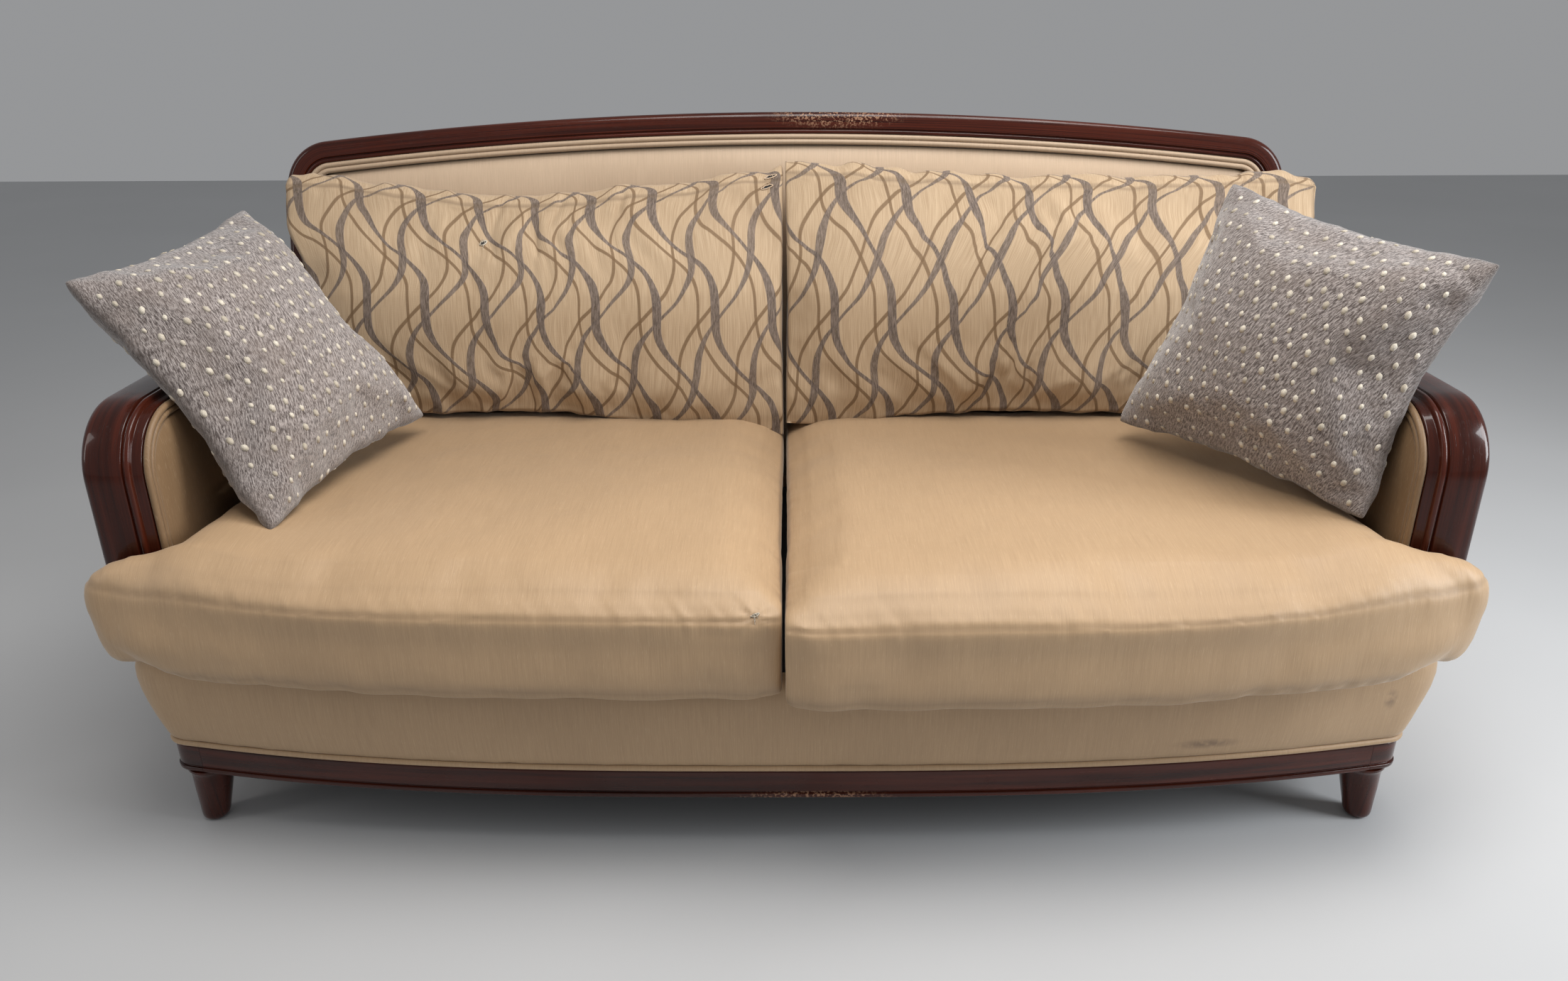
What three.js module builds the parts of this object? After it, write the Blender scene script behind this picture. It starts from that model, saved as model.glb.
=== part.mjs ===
// Two-seat show-wood sofa: a polished timber frame with an arched crest rail and hooped arm bands,
// an upholstered base on a bowed plinth, loose seat and back cushions and two throw pillows.
// Millimetres. +X is to the right seen from the front, -Y is the front, +Z is up, floor at z = 0.
import * as THREE from 'three';

// ---------- driving dimensions ----------
const GAP = 0.4;                 // clearance kept between pieces that touch
const FOOT_HEIGHT = 102;
const PLINTH_TOP = 148;
const BORDER_TOP = 300;          // top of the upholstered base
const SEAT_BOTTOM = 301.4;
const SEAT_SEAM = 430;           // top seam of the seat cushions
const SEAT_CROWN = 475;
const ARM_TOP = 660;
const CREST_TOP = 979;           // at its front edge

const BASE_HALF = 918;           // half width of the plinth
const BASE_FRONT = -380;         // foremost line of the plinth, at mid width
const BOW_DEPTH = 73;            // how far the plinth's ends lie behind its middle
const BOW_POWER = 2.8;
const CORNER_RADIUS = 34;
const PLINTH_THICKNESS = 28;
const FRONT_END = -262;          // where the front strips stop, round the corner
const BORDER_THICKNESS = 22;
const TIMBER = 22;               // thickness of the inner seat rails

const ARM_FRONT = -315;
const ARM_OUTER = 941;
const ARM_INNER = 860;
const ARM_RADIUS = 95;           // outer radius of the arm band's front corner
const BAND_THICKNESS = 30;
const ARM_PAD = 14;
const ARM_BOARD = 16;
const WELT_RADIUS = 6;

const RAKE = THREE.MathUtils.degToRad(9);
const BACK_FOOT_Y = 344;         // centre of a back post at plinth height
const POST_WIDTH = 38;
const POST_DEPTH = 50;
const CREST_CORNER = 88;         // outer radius of the crest rail's corners
const CREST_ARCH = 7900;         // outer radius of the crest rail's arch

const CUSHION_HALF = 957;        // outer side of the seat cushion's front ear
const CUSHION_FRONT = -461;      // front seam, at mid width
const CUSHION_BOW = 109;
const CUSHION_BACK = 326;
const RIGHT_SEAT_FORWARD = 24;   // the right seat cushion bulges this much further forward
const CENTRE_GAP = 4;

const GAP_TO_ARM = 3;            // soft pieces keep this distance to the arms
const CENTRING = -7;             // brings the middle of the depth over the origin

// ---------- finishes ----------
const finish = (color, roughness, metalness = 0) =>
  new THREE.MeshStandardMaterial({ color, roughness, metalness });
const MAHOGANY = finish(0x3a140c, 0.22);
const BEECH = finish(0xb08a5c, 0.75);
const PLYWOOD = finish(0xb9976a, 0.8);
const TAN_CLOTH = finish(0xa98660, 0.75);
const WAVY_CLOTH = finish(0xa48a6b, 0.85);
const PILLOW_CLOTH = finish(0x85796f, 0.95);
const LINING = finish(0x24211f, 0.95);
const WEBBING = finish(0x3d3a36, 0.9);

const sofa = new THREE.Group();
sofa.name = 'sofa';
sofa.position.y = CENTRING;

// The back frame leans: in this group +Z runs up the lean and +Y points to the rear.
const backFrame = new THREE.Group();
backFrame.position.set(0, BACK_FOOT_Y, PLINTH_TOP);
backFrame.rotation.x = -RAKE;
sofa.add(backFrame);

function add(name, geometry, material, parent = sofa) {
  const mesh = new THREE.Mesh(geometry, material);
  mesh.name = name;
  parent.add(mesh);
  return mesh;
}

// ---------- geometry helpers ----------

/** Turns a closed triangle list the right way out, by the sign of its volume. */
function faceOutward(points, triangles) {
  let volume = 0;
  for (const [a, b, c] of triangles) {
    volume += points[a].dot(points[b].clone().cross(points[c]));
  }
  return volume < 0 ? triangles.map(([a, b, c]) => [a, c, b]) : triangles;
}

function meshFrom(points, triangles) {
  const geometry = new THREE.BufferGeometry();
  geometry.setFromPoints(points);
  geometry.setIndex(faceOutward(points, triangles).flat());
  geometry.computeVertexNormals();
  return geometry;
}

/**
 * Skins a stack of closed outlines that all have the same number of points, and caps both ends.
 * outlines[k] is a list of Vector2, and place(point, k) puts it in space.
 */
function loft(outlines, place) {
  const rings = THREE.ShapeUtils.isClockWise(outlines[0])
    ? outlines.map((outline) => [...outline].reverse())
    : outlines;
  const count = rings[0].length;
  const points = rings.flatMap((ring, k) => ring.map((p) => place(p, k)));
  const triangles = [];
  for (let k = 0; k + 1 < outlines.length; k += 1) {
    for (let j = 0; j < count; j += 1) {
      const low = k * count + j;
      const next = k * count + ((j + 1) % count);
      triangles.push([low, next, next + count]);
      triangles.push([low, next + count, low + count]);
    }
  }
  const last = (rings.length - 1) * count;
  for (const [a, b, c] of THREE.ShapeUtils.triangulateShape([...rings[0]], [])) {
    triangles.push([a, c, b]);
  }
  for (const [a, b, c] of THREE.ShapeUtils.triangulateShape([...rings.at(-1)], [])) {
    triangles.push([last + a, last + b, last + c]);
  }
  return meshFrom(points, triangles);
}

/** Sweeps a section along a path of frames { at, out, side }; a section point is (side, out). */
function sweep(section, frames) {
  return loft(frames.map(() => section), (p, k) => {
    const { at, out, side } = frames[k];
    return at.clone().addScaledVector(side, p.x).addScaledVector(out, p.y);
  });
}

/** Extrudes a shape drawn in the (x, z) plane along Y, from yFront to yBack. */
function extrudeAlongY(shape, yFront, yBack, bevel = 0) {
  const geometry = new THREE.ExtrudeGeometry(shape, {
    depth: yBack - yFront - 2 * bevel,
    bevelEnabled: bevel > 0,
    bevelThickness: bevel,
    bevelSize: bevel,
    bevelOffset: -bevel,
    bevelSegments: 1,
    curveSegments: 10,
  });
  geometry.rotateX(Math.PI / 2);
  geometry.translate(0, yBack - bevel, 0);
  return geometry;
}

/** A box given by its lowest and highest corners. */
function block(low, high) {
  const size = high.map((value, axis) => value - low[axis]);
  const geometry = new THREE.BoxGeometry(...size);
  geometry.translate(...high.map((value, axis) => (value + low[axis]) / 2));
  return geometry;
}

const roundSection = (radius, sides) => Array.from({ length: sides }, (_, k) => {
  const angle = (2 * Math.PI * (k + 0.5)) / sides;
  return new THREE.Vector2(radius * Math.cos(angle), radius * Math.sin(angle));
});

const mix = THREE.MathUtils.lerp;

// ---------- base: plinth, feet, border and seat frame ----------

/** Front line of the plinth: nearly straight in the middle, falling back towards the ends. */
const bow = (x) => BASE_FRONT + BOW_DEPTH * Math.abs(x / BASE_HALF) ** BOW_POWER;

/** Front line with its rounded corners, moved outwards by offset, from the right end to the left. */
function frontLine(offset, end = FRONT_END) {
  const half = BASE_HALF + offset;
  const radius = CORNER_RADIUS + offset;
  const middle = BASE_HALF - CORNER_RADIUS;
  const centreY = bow(middle) + CORNER_RADIUS;
  const right = [new THREE.Vector2(half, end)];
  for (let k = 0; k <= 4; k += 1) {
    const angle = (k / 4) * (Math.PI / 2);
    right.push(new THREE.Vector2(middle + radius * Math.cos(angle), centreY - radius * Math.sin(angle)));
  }
  for (let k = 5; k >= 1; k -= 1) {
    const x = middle * (k / 6);
    right.push(new THREE.Vector2(x, bow(x) - offset));
  }
  const left = right.map((p) => new THREE.Vector2(-p.x, p.y)).reverse();
  return [...right, new THREE.Vector2(0, bow(0) - offset), ...left];
}

/** Plan of a strip that follows the front line, from one offset in to another. */
const frontStrip = (outer, inner) => [...frontLine(outer), ...frontLine(inner).reverse()];

const flat = (z) => (p) => new THREE.Vector3(p.x, p.y, z);
const stack = (outlines, heights) => loft(outlines, (p, k) => flat(heights[k])(p));

const SIDE_BACK = BACK_FOOT_Y + POST_DEPTH / 2 - 2;
const leanAt = (z) => (z - PLINTH_TOP) * Math.tan(RAKE);

add('plinth_front', stack(
  [frontStrip(0, -PLINTH_THICKNESS), frontStrip(0, -PLINTH_THICKNESS)],
  [FOOT_HEIGHT + GAP, PLINTH_TOP - GAP],
), MAHOGANY);
for (const [side, sign] of [['left', -1], ['right', 1]]) {
  const inner = BASE_HALF - PLINTH_THICKNESS;
  const low = [Math.min(sign * inner, sign * BASE_HALF), FRONT_END + GAP, FOOT_HEIGHT + GAP];
  const high = [Math.max(sign * inner, sign * BASE_HALF), SIDE_BACK, PLINTH_TOP - GAP];
  add(`plinth_${side}`, block(low, high), MAHOGANY);
}
add('plinth_back', block(
  [-(BASE_HALF - PLINTH_THICKNESS - GAP), SIDE_BACK - PLINTH_THICKNESS, FOOT_HEIGHT + GAP],
  [BASE_HALF - PLINTH_THICKNESS - GAP, SIDE_BACK, PLINTH_TOP - GAP],
), MAHOGANY);

// Turned tapered feet: a coved neck, a long taper and a rounded toe, raked outwards at the sole.
const FOOT_PROFILE = [
  [0, 0], [11, 0], [17, 3], [20.5, 10], [22.5, 26], [27.5, 62], [30.5, 86], [35, 98],
  [35, FOOT_HEIGHT], [0, FOOT_HEIGHT],
];
const FOOT_X = 870;
const FOOT_RAKE = 13;            // sideways lean of the sole away from the neck
const FOOT_FRONT_Y = -284;
const FOOT_BACK_Y = 325;
for (const [place, x, y] of [
  ['front_left', -FOOT_X, FOOT_FRONT_Y], ['front_right', FOOT_X, FOOT_FRONT_Y],
  ['back_left', -FOOT_X, FOOT_BACK_Y], ['back_right', FOOT_X, FOOT_BACK_Y],
]) {
  const geometry = new THREE.LatheGeometry(FOOT_PROFILE.map(([r, z]) => new THREE.Vector2(r, z)), 20);
  geometry.rotateX(Math.PI / 2);
  const shear = new THREE.Matrix4().makeShear(0, 0, 0, 0, -Math.sign(x) * FOOT_RAKE / FOOT_HEIGHT, 0);
  geometry.applyMatrix4(shear);
  geometry.translate(x + Math.sign(x) * FOOT_RAKE, y, 0);
  add(`foot_${place}`, geometry, MAHOGANY);
}

// Corner blocks inside the plinth, to which the feet are bolted.
const BLOCK_LEG = 120;
for (const [place, xSign, y, ySign] of [
  ['front_left', -1, bow(BASE_HALF) + PLINTH_THICKNESS + 8, 1],
  ['front_right', 1, bow(BASE_HALF) + PLINTH_THICKNESS + 8, 1],
  ['back_left', -1, SIDE_BACK - PLINTH_THICKNESS - GAP, -1],
  ['back_right', 1, SIDE_BACK - PLINTH_THICKNESS - GAP, -1],
]) {
  const x = xSign * (BASE_HALF - PLINTH_THICKNESS - GAP);
  const plan = [
    new THREE.Vector2(x, y),
    new THREE.Vector2(x, y + ySign * BLOCK_LEG),
    new THREE.Vector2(x - xSign * BLOCK_LEG, y),
  ];
  add(`corner_block_${place}`, stack([plan, plan], [FOOT_HEIGHT + GAP, PLINTH_TOP - 3]), BEECH);
}

// Stuffed base border over the seat rails: it swells out a little at mid height.
const BORDER_BOTTOM = PLINTH_TOP + 12;
const BORDER_LEVELS = [
  [BORDER_BOTTOM, -1], [BORDER_BOTTOM + 14, 4], [208, 8], [264, 8], [BORDER_TOP - 10, 5], [BORDER_TOP, -4],
];
add('base_border_front', stack(
  BORDER_LEVELS.map(([, swell]) => frontStrip(swell, -BORDER_THICKNESS)),
  BORDER_LEVELS.map(([z]) => z),
), TAN_CLOTH);
for (const [side, sign] of [['left', -1], ['right', 1]]) {
  const plans = BORDER_LEVELS.map(([z, swell]) => {
    const inner = sign * (BASE_HALF - BORDER_THICKNESS);
    const outer = sign * (BASE_HALF + swell);
    const back = SIDE_BACK + leanAt(z);
    return [
      new THREE.Vector2(inner, FRONT_END + GAP),
      new THREE.Vector2(outer, FRONT_END + GAP),
      new THREE.Vector2(outer, back),
      new THREE.Vector2(inner, back),
    ];
  });
  add(`base_border_${side}`, stack(plans, BORDER_LEVELS.map(([z]) => z)), TAN_CLOTH);
}

// Welt along the border's lower edge, round the front and both sides.
const BASE_WELT_Z = PLINTH_TOP + 6;
const BASE_WELT_RADIUS = 4.6;
const weltPath = frontLine(-2, SIDE_BACK - 4);
add('base_welt', sweep(roundSection(BASE_WELT_RADIUS, 6), weltPath.map((p, k) => {
  const before = weltPath[Math.max(k - 1, 0)];
  const after = weltPath[Math.min(k + 1, weltPath.length - 1)];
  const along = after.clone().sub(before).normalize();
  return {
    at: new THREE.Vector3(p.x, p.y, BASE_WELT_Z),
    side: new THREE.Vector3(0, 0, 1),
    out: new THREE.Vector3(along.y, -along.x, 0),
  };
})), TAN_CLOTH);

// Inner seat frame: bowed front rail, side rails, back rail and a centre bearer.
const RAIL_BOTTOM = PLINTH_TOP + 5;
const RAIL_TOP = 285;
const innerFace = BASE_HALF - BORDER_THICKNESS - GAP;
const railInset = -(BORDER_THICKNESS + GAP);
const FRONT_RAIL_END = 840;
const frontRailPlan = (() => {
  const xs = Array.from({ length: 9 }, (_, k) => mix(FRONT_RAIL_END, -FRONT_RAIL_END, k / 8));
  const outer = xs.map((x) => new THREE.Vector2(x, bow(x) - railInset + 2));
  const inner = xs.map((x) => new THREE.Vector2(x, bow(x) - railInset + 2 + TIMBER)).reverse();
  return [...outer, ...inner];
})();
add('seat_rail_front', stack([frontRailPlan, frontRailPlan], [RAIL_BOTTOM, RAIL_TOP]), BEECH);
const RAIL_BACK_Y = 306;
for (const [side, sign] of [['left', -1], ['right', 1]]) {
  const xs = [sign * innerFace, sign * (innerFace - TIMBER)].sort((a, b) => a - b);
  add(`seat_rail_${side}`, block([xs[0], -270, RAIL_BOTTOM], [xs[1], RAIL_BACK_Y - GAP, RAIL_TOP]), BEECH);
}
add('seat_rail_back', block(
  [-innerFace, RAIL_BACK_Y, RAIL_BOTTOM], [innerFace, RAIL_BACK_Y + 11, RAIL_TOP],
), BEECH);
const BEARER_HALF = 14;
const bearerFront = bow(0) - railInset + 2 + TIMBER + 1;
add('seat_bearer', block(
  [-BEARER_HALF, bearerFront, RAIL_BOTTOM], [BEARER_HALF, RAIL_BACK_Y - GAP, RAIL_TOP - 30],
), BEECH);

// Elastic webbing from the front rail to the back rail, and the stuffed deck over it.
const STRAP_WIDTH = 70;
const STRAP_THICKNESS = 2;
const SEAT_STRAPS = 6;
for (let k = 0; k < SEAT_STRAPS; k += 1) {
  const x = mix(-735, 735, k / (SEAT_STRAPS - 1));
  const low = [x - STRAP_WIDTH / 2, bow(x) - railInset + 6, RAIL_TOP + GAP];
  const high = [x + STRAP_WIDTH / 2, RAIL_BACK_Y + 8, RAIL_TOP + GAP + STRAP_THICKNESS];
  add(`seat_strap_${k + 1}`, block(low, high), WEBBING);
}
const DECK_BOTTOM = RAIL_TOP + STRAP_THICKNESS + 2 * GAP;
const deckPlan = (() => {
  const back = BACK_FOOT_Y - POST_DEPTH / 2 / Math.cos(RAKE) + leanAt(DECK_BOTTOM) - 2;
  return [...frontLine(railInset - 1, FRONT_END), new THREE.Vector2(-innerFace + 1, back), new THREE.Vector2(innerFace - 1, back)];
})();
add('seat_deck', stack([deckPlan, deckPlan], [DECK_BOTTOM, BORDER_TOP - 1]), LINING);
const dustPlan = [
  ...frontLine(-PLINTH_THICKNESS - 1, FRONT_END),
  new THREE.Vector2(-innerFace + 4, SIDE_BACK - PLINTH_THICKNESS - 1),
  new THREE.Vector2(innerFace - 4, SIDE_BACK - PLINTH_THICKNESS - 1),
];
add('dust_cover', stack([dustPlan, dustPlan], [PLINTH_TOP + 1, PLINTH_TOP + 2.4]), LINING);

// ---------- arms ----------

/** Side outline of the hoop, offset inwards, from the base up the front and back to the post. */
function hoop(inset, bottom, rearGap = 1) {
  const radius = ARM_RADIUS - inset;
  const front = ARM_FRONT + inset;
  const top = ARM_TOP - inset;
  const centre = new THREE.Vector2(ARM_FRONT + ARM_RADIUS, ARM_TOP - ARM_RADIUS);
  const rear = BACK_FOOT_Y - POST_DEPTH / 2 / Math.cos(RAKE) + leanAt(top) - rearGap;
  const frames = [{ at: [front, bottom], out: [-1, 0] }];
  for (let k = 0; k <= 7; k += 1) {
    const angle = Math.PI - (k / 7) * (Math.PI / 2);
    const out = [Math.cos(angle), Math.sin(angle)];
    frames.push({ at: [centre.x + radius * out[0], centre.y + radius * out[1]], out });
  }
  frames.push({ at: [rear, top], out: [Math.tan(RAKE), 1] });
  return frames;
}

const ARM_BOTTOM = BORDER_TOP + GAP;
/** Section of the arm band: (distance in from its outer face, height over the broad face). */
const BAND_SECTION = [
  [0, -BAND_THICKNESS], [0, -7], [2, -2], [7, 0], [55.5, 0], [57.5, -3], [60, -0.5],
  [66, -0.5], [68.5, -4], [69.5, -7], [81, -8], [81, -BAND_THICKNESS],
].map(([across, height]) => new THREE.Vector2(across, height));
const sideways = (frames, x, sign) => frames.map(({ at, out }) => ({
  at: new THREE.Vector3(sign * x, at[0], at[1]),
  side: new THREE.Vector3(-sign, 0, 0),
  out: new THREE.Vector3(0, out[0], out[1]),
}));

/** A panel that fills the hoop: its side outline extruded from one x to another. */
function hoopPanel(inset, sign, xNear, xFar, rearGap) {
  const outline = hoop(inset, ARM_BOTTOM, rearGap).map(({ at }) => new THREE.Vector2(at[0], at[1]));
  const bottomRear = BACK_FOOT_Y - POST_DEPTH / 2 / Math.cos(RAKE) + leanAt(ARM_BOTTOM) - rearGap;
  outline.push(new THREE.Vector2(bottomRear, ARM_BOTTOM));
  const xs = [xNear, xFar];
  return loft([outline, outline], (p, k) => new THREE.Vector3(sign * xs[k], p.x, p.y));
}

const boardOuter = ARM_INNER + GAP + ARM_BOARD;
for (const [side, sign] of [['left', -1], ['right', 1]]) {
  add(`arm_band_${side}`, sweep(BAND_SECTION, sideways(hoop(0, ARM_BOTTOM), ARM_OUTER, sign)), MAHOGANY);
  add(`arm_pad_${side}`, hoopPanel(19, sign, ARM_INNER - ARM_PAD, ARM_INNER - GAP, 1), TAN_CLOTH);
  const inside = BAND_THICKNESS + GAP;
  add(`arm_board_${side}`, hoopPanel(inside, sign, ARM_INNER + GAP, boardOuter, 1), PLYWOOD);
  add(`arm_outer_panel_${side}`, hoopPanel(inside, sign, ARM_OUTER - 14, ARM_OUTER - 1, 1), TAN_CLOTH);
  const postXs = [sign * (boardOuter + GAP), sign * (ARM_OUTER - 14 - GAP)].sort((a, b) => a - b);
  const postFront = ARM_FRONT + BAND_THICKNESS + 1;
  add(`arm_post_${side}`, block(
    [postXs[0], postFront, ARM_BOTTOM], [postXs[1], postFront + 40, ARM_TOP - ARM_RADIUS],
  ), BEECH);
  const weltAt = ARM_INNER - WELT_RADIUS - GAP;
  add(`arm_welt_${side}`, sweep(
    roundSection(WELT_RADIUS, 6), sideways(hoop(12, ARM_BOTTOM, 3), weltAt, sign),
  ), TAN_CLOTH);
}

// ---------- back frame, in its leaning group: x across, y to the rear, z up the lean ----------

const halfDepth = POST_DEPTH / 2;
const crestS = (CREST_TOP - PLINTH_TOP - halfDepth * Math.sin(RAKE)) / Math.cos(RAKE);
const archCentre = crestS - CREST_ARCH;
const cornerX = ARM_OUTER - CREST_CORNER;
const cornerS = archCentre + Math.sqrt((CREST_ARCH - CREST_CORNER) ** 2 - cornerX ** 2);
const cornerAngle = Math.atan2(cornerS - archCentre, -cornerX);
const jointS = cornerS - 40;     // the crest rail meets the posts below its corners

/** Adds to a shape the arched line at an inset from the crest's outer edge, left to right. */
function traceArch(shape, inset) {
  shape.absarc(-cornerX, cornerS, CREST_CORNER - inset, Math.PI, cornerAngle, true);
  shape.absarc(0, archCentre, CREST_ARCH - inset, cornerAngle, Math.PI - cornerAngle, true);
  shape.absarc(cornerX, cornerS, CREST_CORNER - inset, Math.PI - cornerAngle, 0, true);
}

const crest = new THREE.Shape();
crest.moveTo(-ARM_OUTER, jointS);
traceArch(crest, 0);
crest.lineTo(ARM_OUTER, jointS);
crest.lineTo(ARM_OUTER - POST_WIDTH, jointS);
crest.absarc(cornerX, cornerS, CREST_CORNER - POST_WIDTH, 0, Math.PI - cornerAngle, false);
crest.absarc(0, archCentre, CREST_ARCH - POST_WIDTH, Math.PI - cornerAngle, cornerAngle, false);
crest.absarc(-cornerX, cornerS, CREST_CORNER - POST_WIDTH, cornerAngle, Math.PI, false);
crest.lineTo(-(ARM_OUTER - POST_WIDTH), jointS);
crest.closePath();
add('crest_rail', extrudeAlongY(crest, -halfDepth, halfDepth, 3), MAHOGANY, backFrame);

for (const [side, sign] of [['left', -1], ['right', 1]]) {
  const xs = [sign * ARM_OUTER, sign * (ARM_OUTER - POST_WIDTH)].sort((a, b) => a - b);
  const low = [xs[0], -halfDepth, BORDER_TOP - PLINTH_TOP + 6];
  add(`back_post_${side}`, block(low, [xs[1], halfDepth, jointS - GAP]), MAHOGANY, backFrame);
}

/** Panel inside the posts and crest rail, with an inset from the wood and its foot at bottomS. */
function backPanel(inset, bottomS, yFront, yBack) {
  const half = ARM_OUTER - POST_WIDTH - inset;
  const panel = new THREE.Shape();
  panel.moveTo(-half, bottomS);
  panel.lineTo(-half, cornerS);
  traceArch(panel, POST_WIDTH + inset);
  panel.lineTo(half, bottomS);
  panel.closePath();
  return extrudeAlongY(panel, yFront, yBack);
}

const PANEL_FOOT = BORDER_TOP - PLINTH_TOP + 6;
const INNER_PAD_BACK = -4;
add('back_inner_pad', backPanel(11.5, PANEL_FOOT, 1 - halfDepth, INNER_PAD_BACK), TAN_CLOTH, backFrame);
add('back_outer_panel', backPanel(1, PANEL_FOOT, 12, halfDepth - 2), TAN_CLOTH, backFrame);
add('base_border_back', block(
  [-(BASE_HALF + 4), halfDepth + GAP, 12], [BASE_HALF + 4, halfDepth + 8, PANEL_FOOT - 8],
), TAN_CLOTH, backFrame);

// Welt between the wood and the back panel.
const backWeltPath = (() => {
  const inset = POST_WIDTH + WELT_RADIUS - 0.2;
  const line = new THREE.Path();
  line.moveTo(-(ARM_OUTER - inset), PANEL_FOOT);
  line.lineTo(-(ARM_OUTER - inset), cornerS - 1);
  traceArch(line, inset);
  line.lineTo(ARM_OUTER - inset, PANEL_FOOT);
  return line.getPoints(7);
})();
const BACK_WELT_RADIUS = 5;
add('back_welt', sweep(roundSection(BACK_WELT_RADIUS, 6), backWeltPath.map((p, k) => {
  const before = backWeltPath[Math.max(k - 1, 0)];
  const after = backWeltPath[Math.min(k + 1, backWeltPath.length - 1)];
  const along = after.clone().sub(before).normalize();
  return {
    at: new THREE.Vector3(p.x, BACK_WELT_RADIUS - halfDepth, p.y),
    side: new THREE.Vector3(0, 1, 0),
    out: new THREE.Vector3(-along.y, 0, along.x),
  };
})), TAN_CLOTH, backFrame);

// Inner timbers of the back and its webbing.
const backHalf = ARM_OUTER - POST_WIDTH - GAP;
add('back_rail_lower', block([-backHalf, -1, PANEL_FOOT + 2], [backHalf, 11, PANEL_FOOT + 62]), BEECH, backFrame);
add('back_muntin', block([-30, -1, PANEL_FOOT + 62 + GAP], [30, 11, crestS - POST_WIDTH - 1]), BEECH, backFrame);
const BACK_STRAPS = 3;
for (let k = 0; k < BACK_STRAPS; k += 1) {
  const s = PANEL_FOOT + mix(120, 420, k / (BACK_STRAPS - 1));
  const low = [-(backHalf - 1), INNER_PAD_BACK + GAP, s];
  const high = [backHalf - 1, INNER_PAD_BACK + GAP + STRAP_THICKNESS, s + 60];
  add(`back_strap_${k + 1}`, block(low, high), WEBBING, backFrame);
}

// ---------- cushions ----------

const clampTo = (p, low, high) => p.clone().clamp(low, high);

/** Moves each point of an outline towards a rectangle inside it, by a fraction of the way. */
const drawnIn = (outline, low, high, fraction) =>
  outline.map((p) => p.clone().lerp(clampTo(p, low, high), fraction));

/**
 * Plan of the left seat cushion: a bowed front, and an ear that wraps round the arm's front.
 * forward moves the middle of the front edge out.
 */
function seatPlan(forward) {
  const front = (x) => CUSHION_FRONT + CUSHION_BOW * Math.abs(x / CUSHION_HALF) ** 3.3
    - forward * (1 - (x / CUSHION_HALF) ** 4);
  const points = [];
  const last = 905;
  for (let k = 0; k <= 12; k += 1) {
    const x = mix(-CENTRE_GAP, -last, k / 12);
    points.push(new THREE.Vector2(x, front(x)));
  }
  points.push(new THREE.Vector2(-935, front(-last) + 12));
  points.push(new THREE.Vector2(-952, front(-last) + 28));
  const earBack = ARM_FRONT - GAP_TO_ARM;
  points.push(new THREE.Vector2(-CUSHION_HALF, earBack));
  const armSide = -(ARM_INNER - ARM_PAD - GAP_TO_ARM);
  points.push(new THREE.Vector2(-900, earBack));
  points.push(new THREE.Vector2(armSide, earBack));
  for (let k = 1; k <= 6; k += 1) {
    points.push(new THREE.Vector2(armSide, mix(earBack, CUSHION_BACK, k / 6)));
  }
  for (let k = 1; k <= 6; k += 1) {
    points.push(new THREE.Vector2(mix(armSide, -CENTRE_GAP, k / 6), CUSHION_BACK));
  }
  for (let k = 1; k < 6; k += 1) {
    points.push(new THREE.Vector2(-CENTRE_GAP, mix(CUSHION_BACK, front(0), k / 6)));
  }
  return points;
}
const seatLow = new THREE.Vector2(-740, -345);
const seatHigh = new THREE.Vector2(-130, 220);
/** Levels from the bottom seam (0) over the top seam (1) to the crown, with the pull inwards. */
const SEAT_LEVELS = [
  [0, 0.05], [0.12, 0.015], [0.5, 0.0], [0.9, 0.0], [1, 0.015], [1.12, 0.1], [1.25, 0.34], [1.33, 0.8],
];
const seatHeights = SEAT_LEVELS.map(([level]) => {
  const boxed = Math.min(level, 1) * (SEAT_SEAM - SEAT_BOTTOM);
  const crowned = (Math.max(level - 1, 0) / 0.33) * (SEAT_CROWN - SEAT_SEAM);
  return SEAT_BOTTOM + boxed + crowned;
});
for (const [side, sign, forward] of [['left', 1, 0], ['right', -1, RIGHT_SEAT_FORWARD]]) {
  const plan = seatPlan(forward);
  const outlines = SEAT_LEVELS.map(([, pull]) => drawnIn(plan, seatLow, seatHigh, pull)
    .map((p) => new THREE.Vector2(sign * p.x, p.y)));
  add(`seat_cushion_${side}`, stack(outlines, seatHeights), TAN_CLOTH);
}

/** Side outline (y, z) of a back cushion of full height, standing on the seat and leaning back. */
const BACK_CUSHION_SIDE = [
  [190, 484], [181, 520], [187, 600], [214, 700], [258, 790], [310, 858], [356, 885], [392, 880],
  [408, 850], [402, 760], [390, 660], [376, 560], [362, 500], [340, 484],
].map(([y, z]) => new THREE.Vector2(y, z));
const BACK_CUSHION_MIDDLE = new THREE.Vector2(296, 660);
const BACK_CUSHION_FOOT = 484;
/** Stations along a cushion: place from end (-1) to end (1), and how far the outline shrinks. */
const BACK_CUSHION_STATIONS = [
  [-1, 0.62], [-0.975, 0.36], [-0.9, 0.14], [-0.7, 0.03], [0, 0], [0.7, 0.03], [0.9, 0.14], [0.975, 0.36], [1, 0.62],
];

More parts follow.
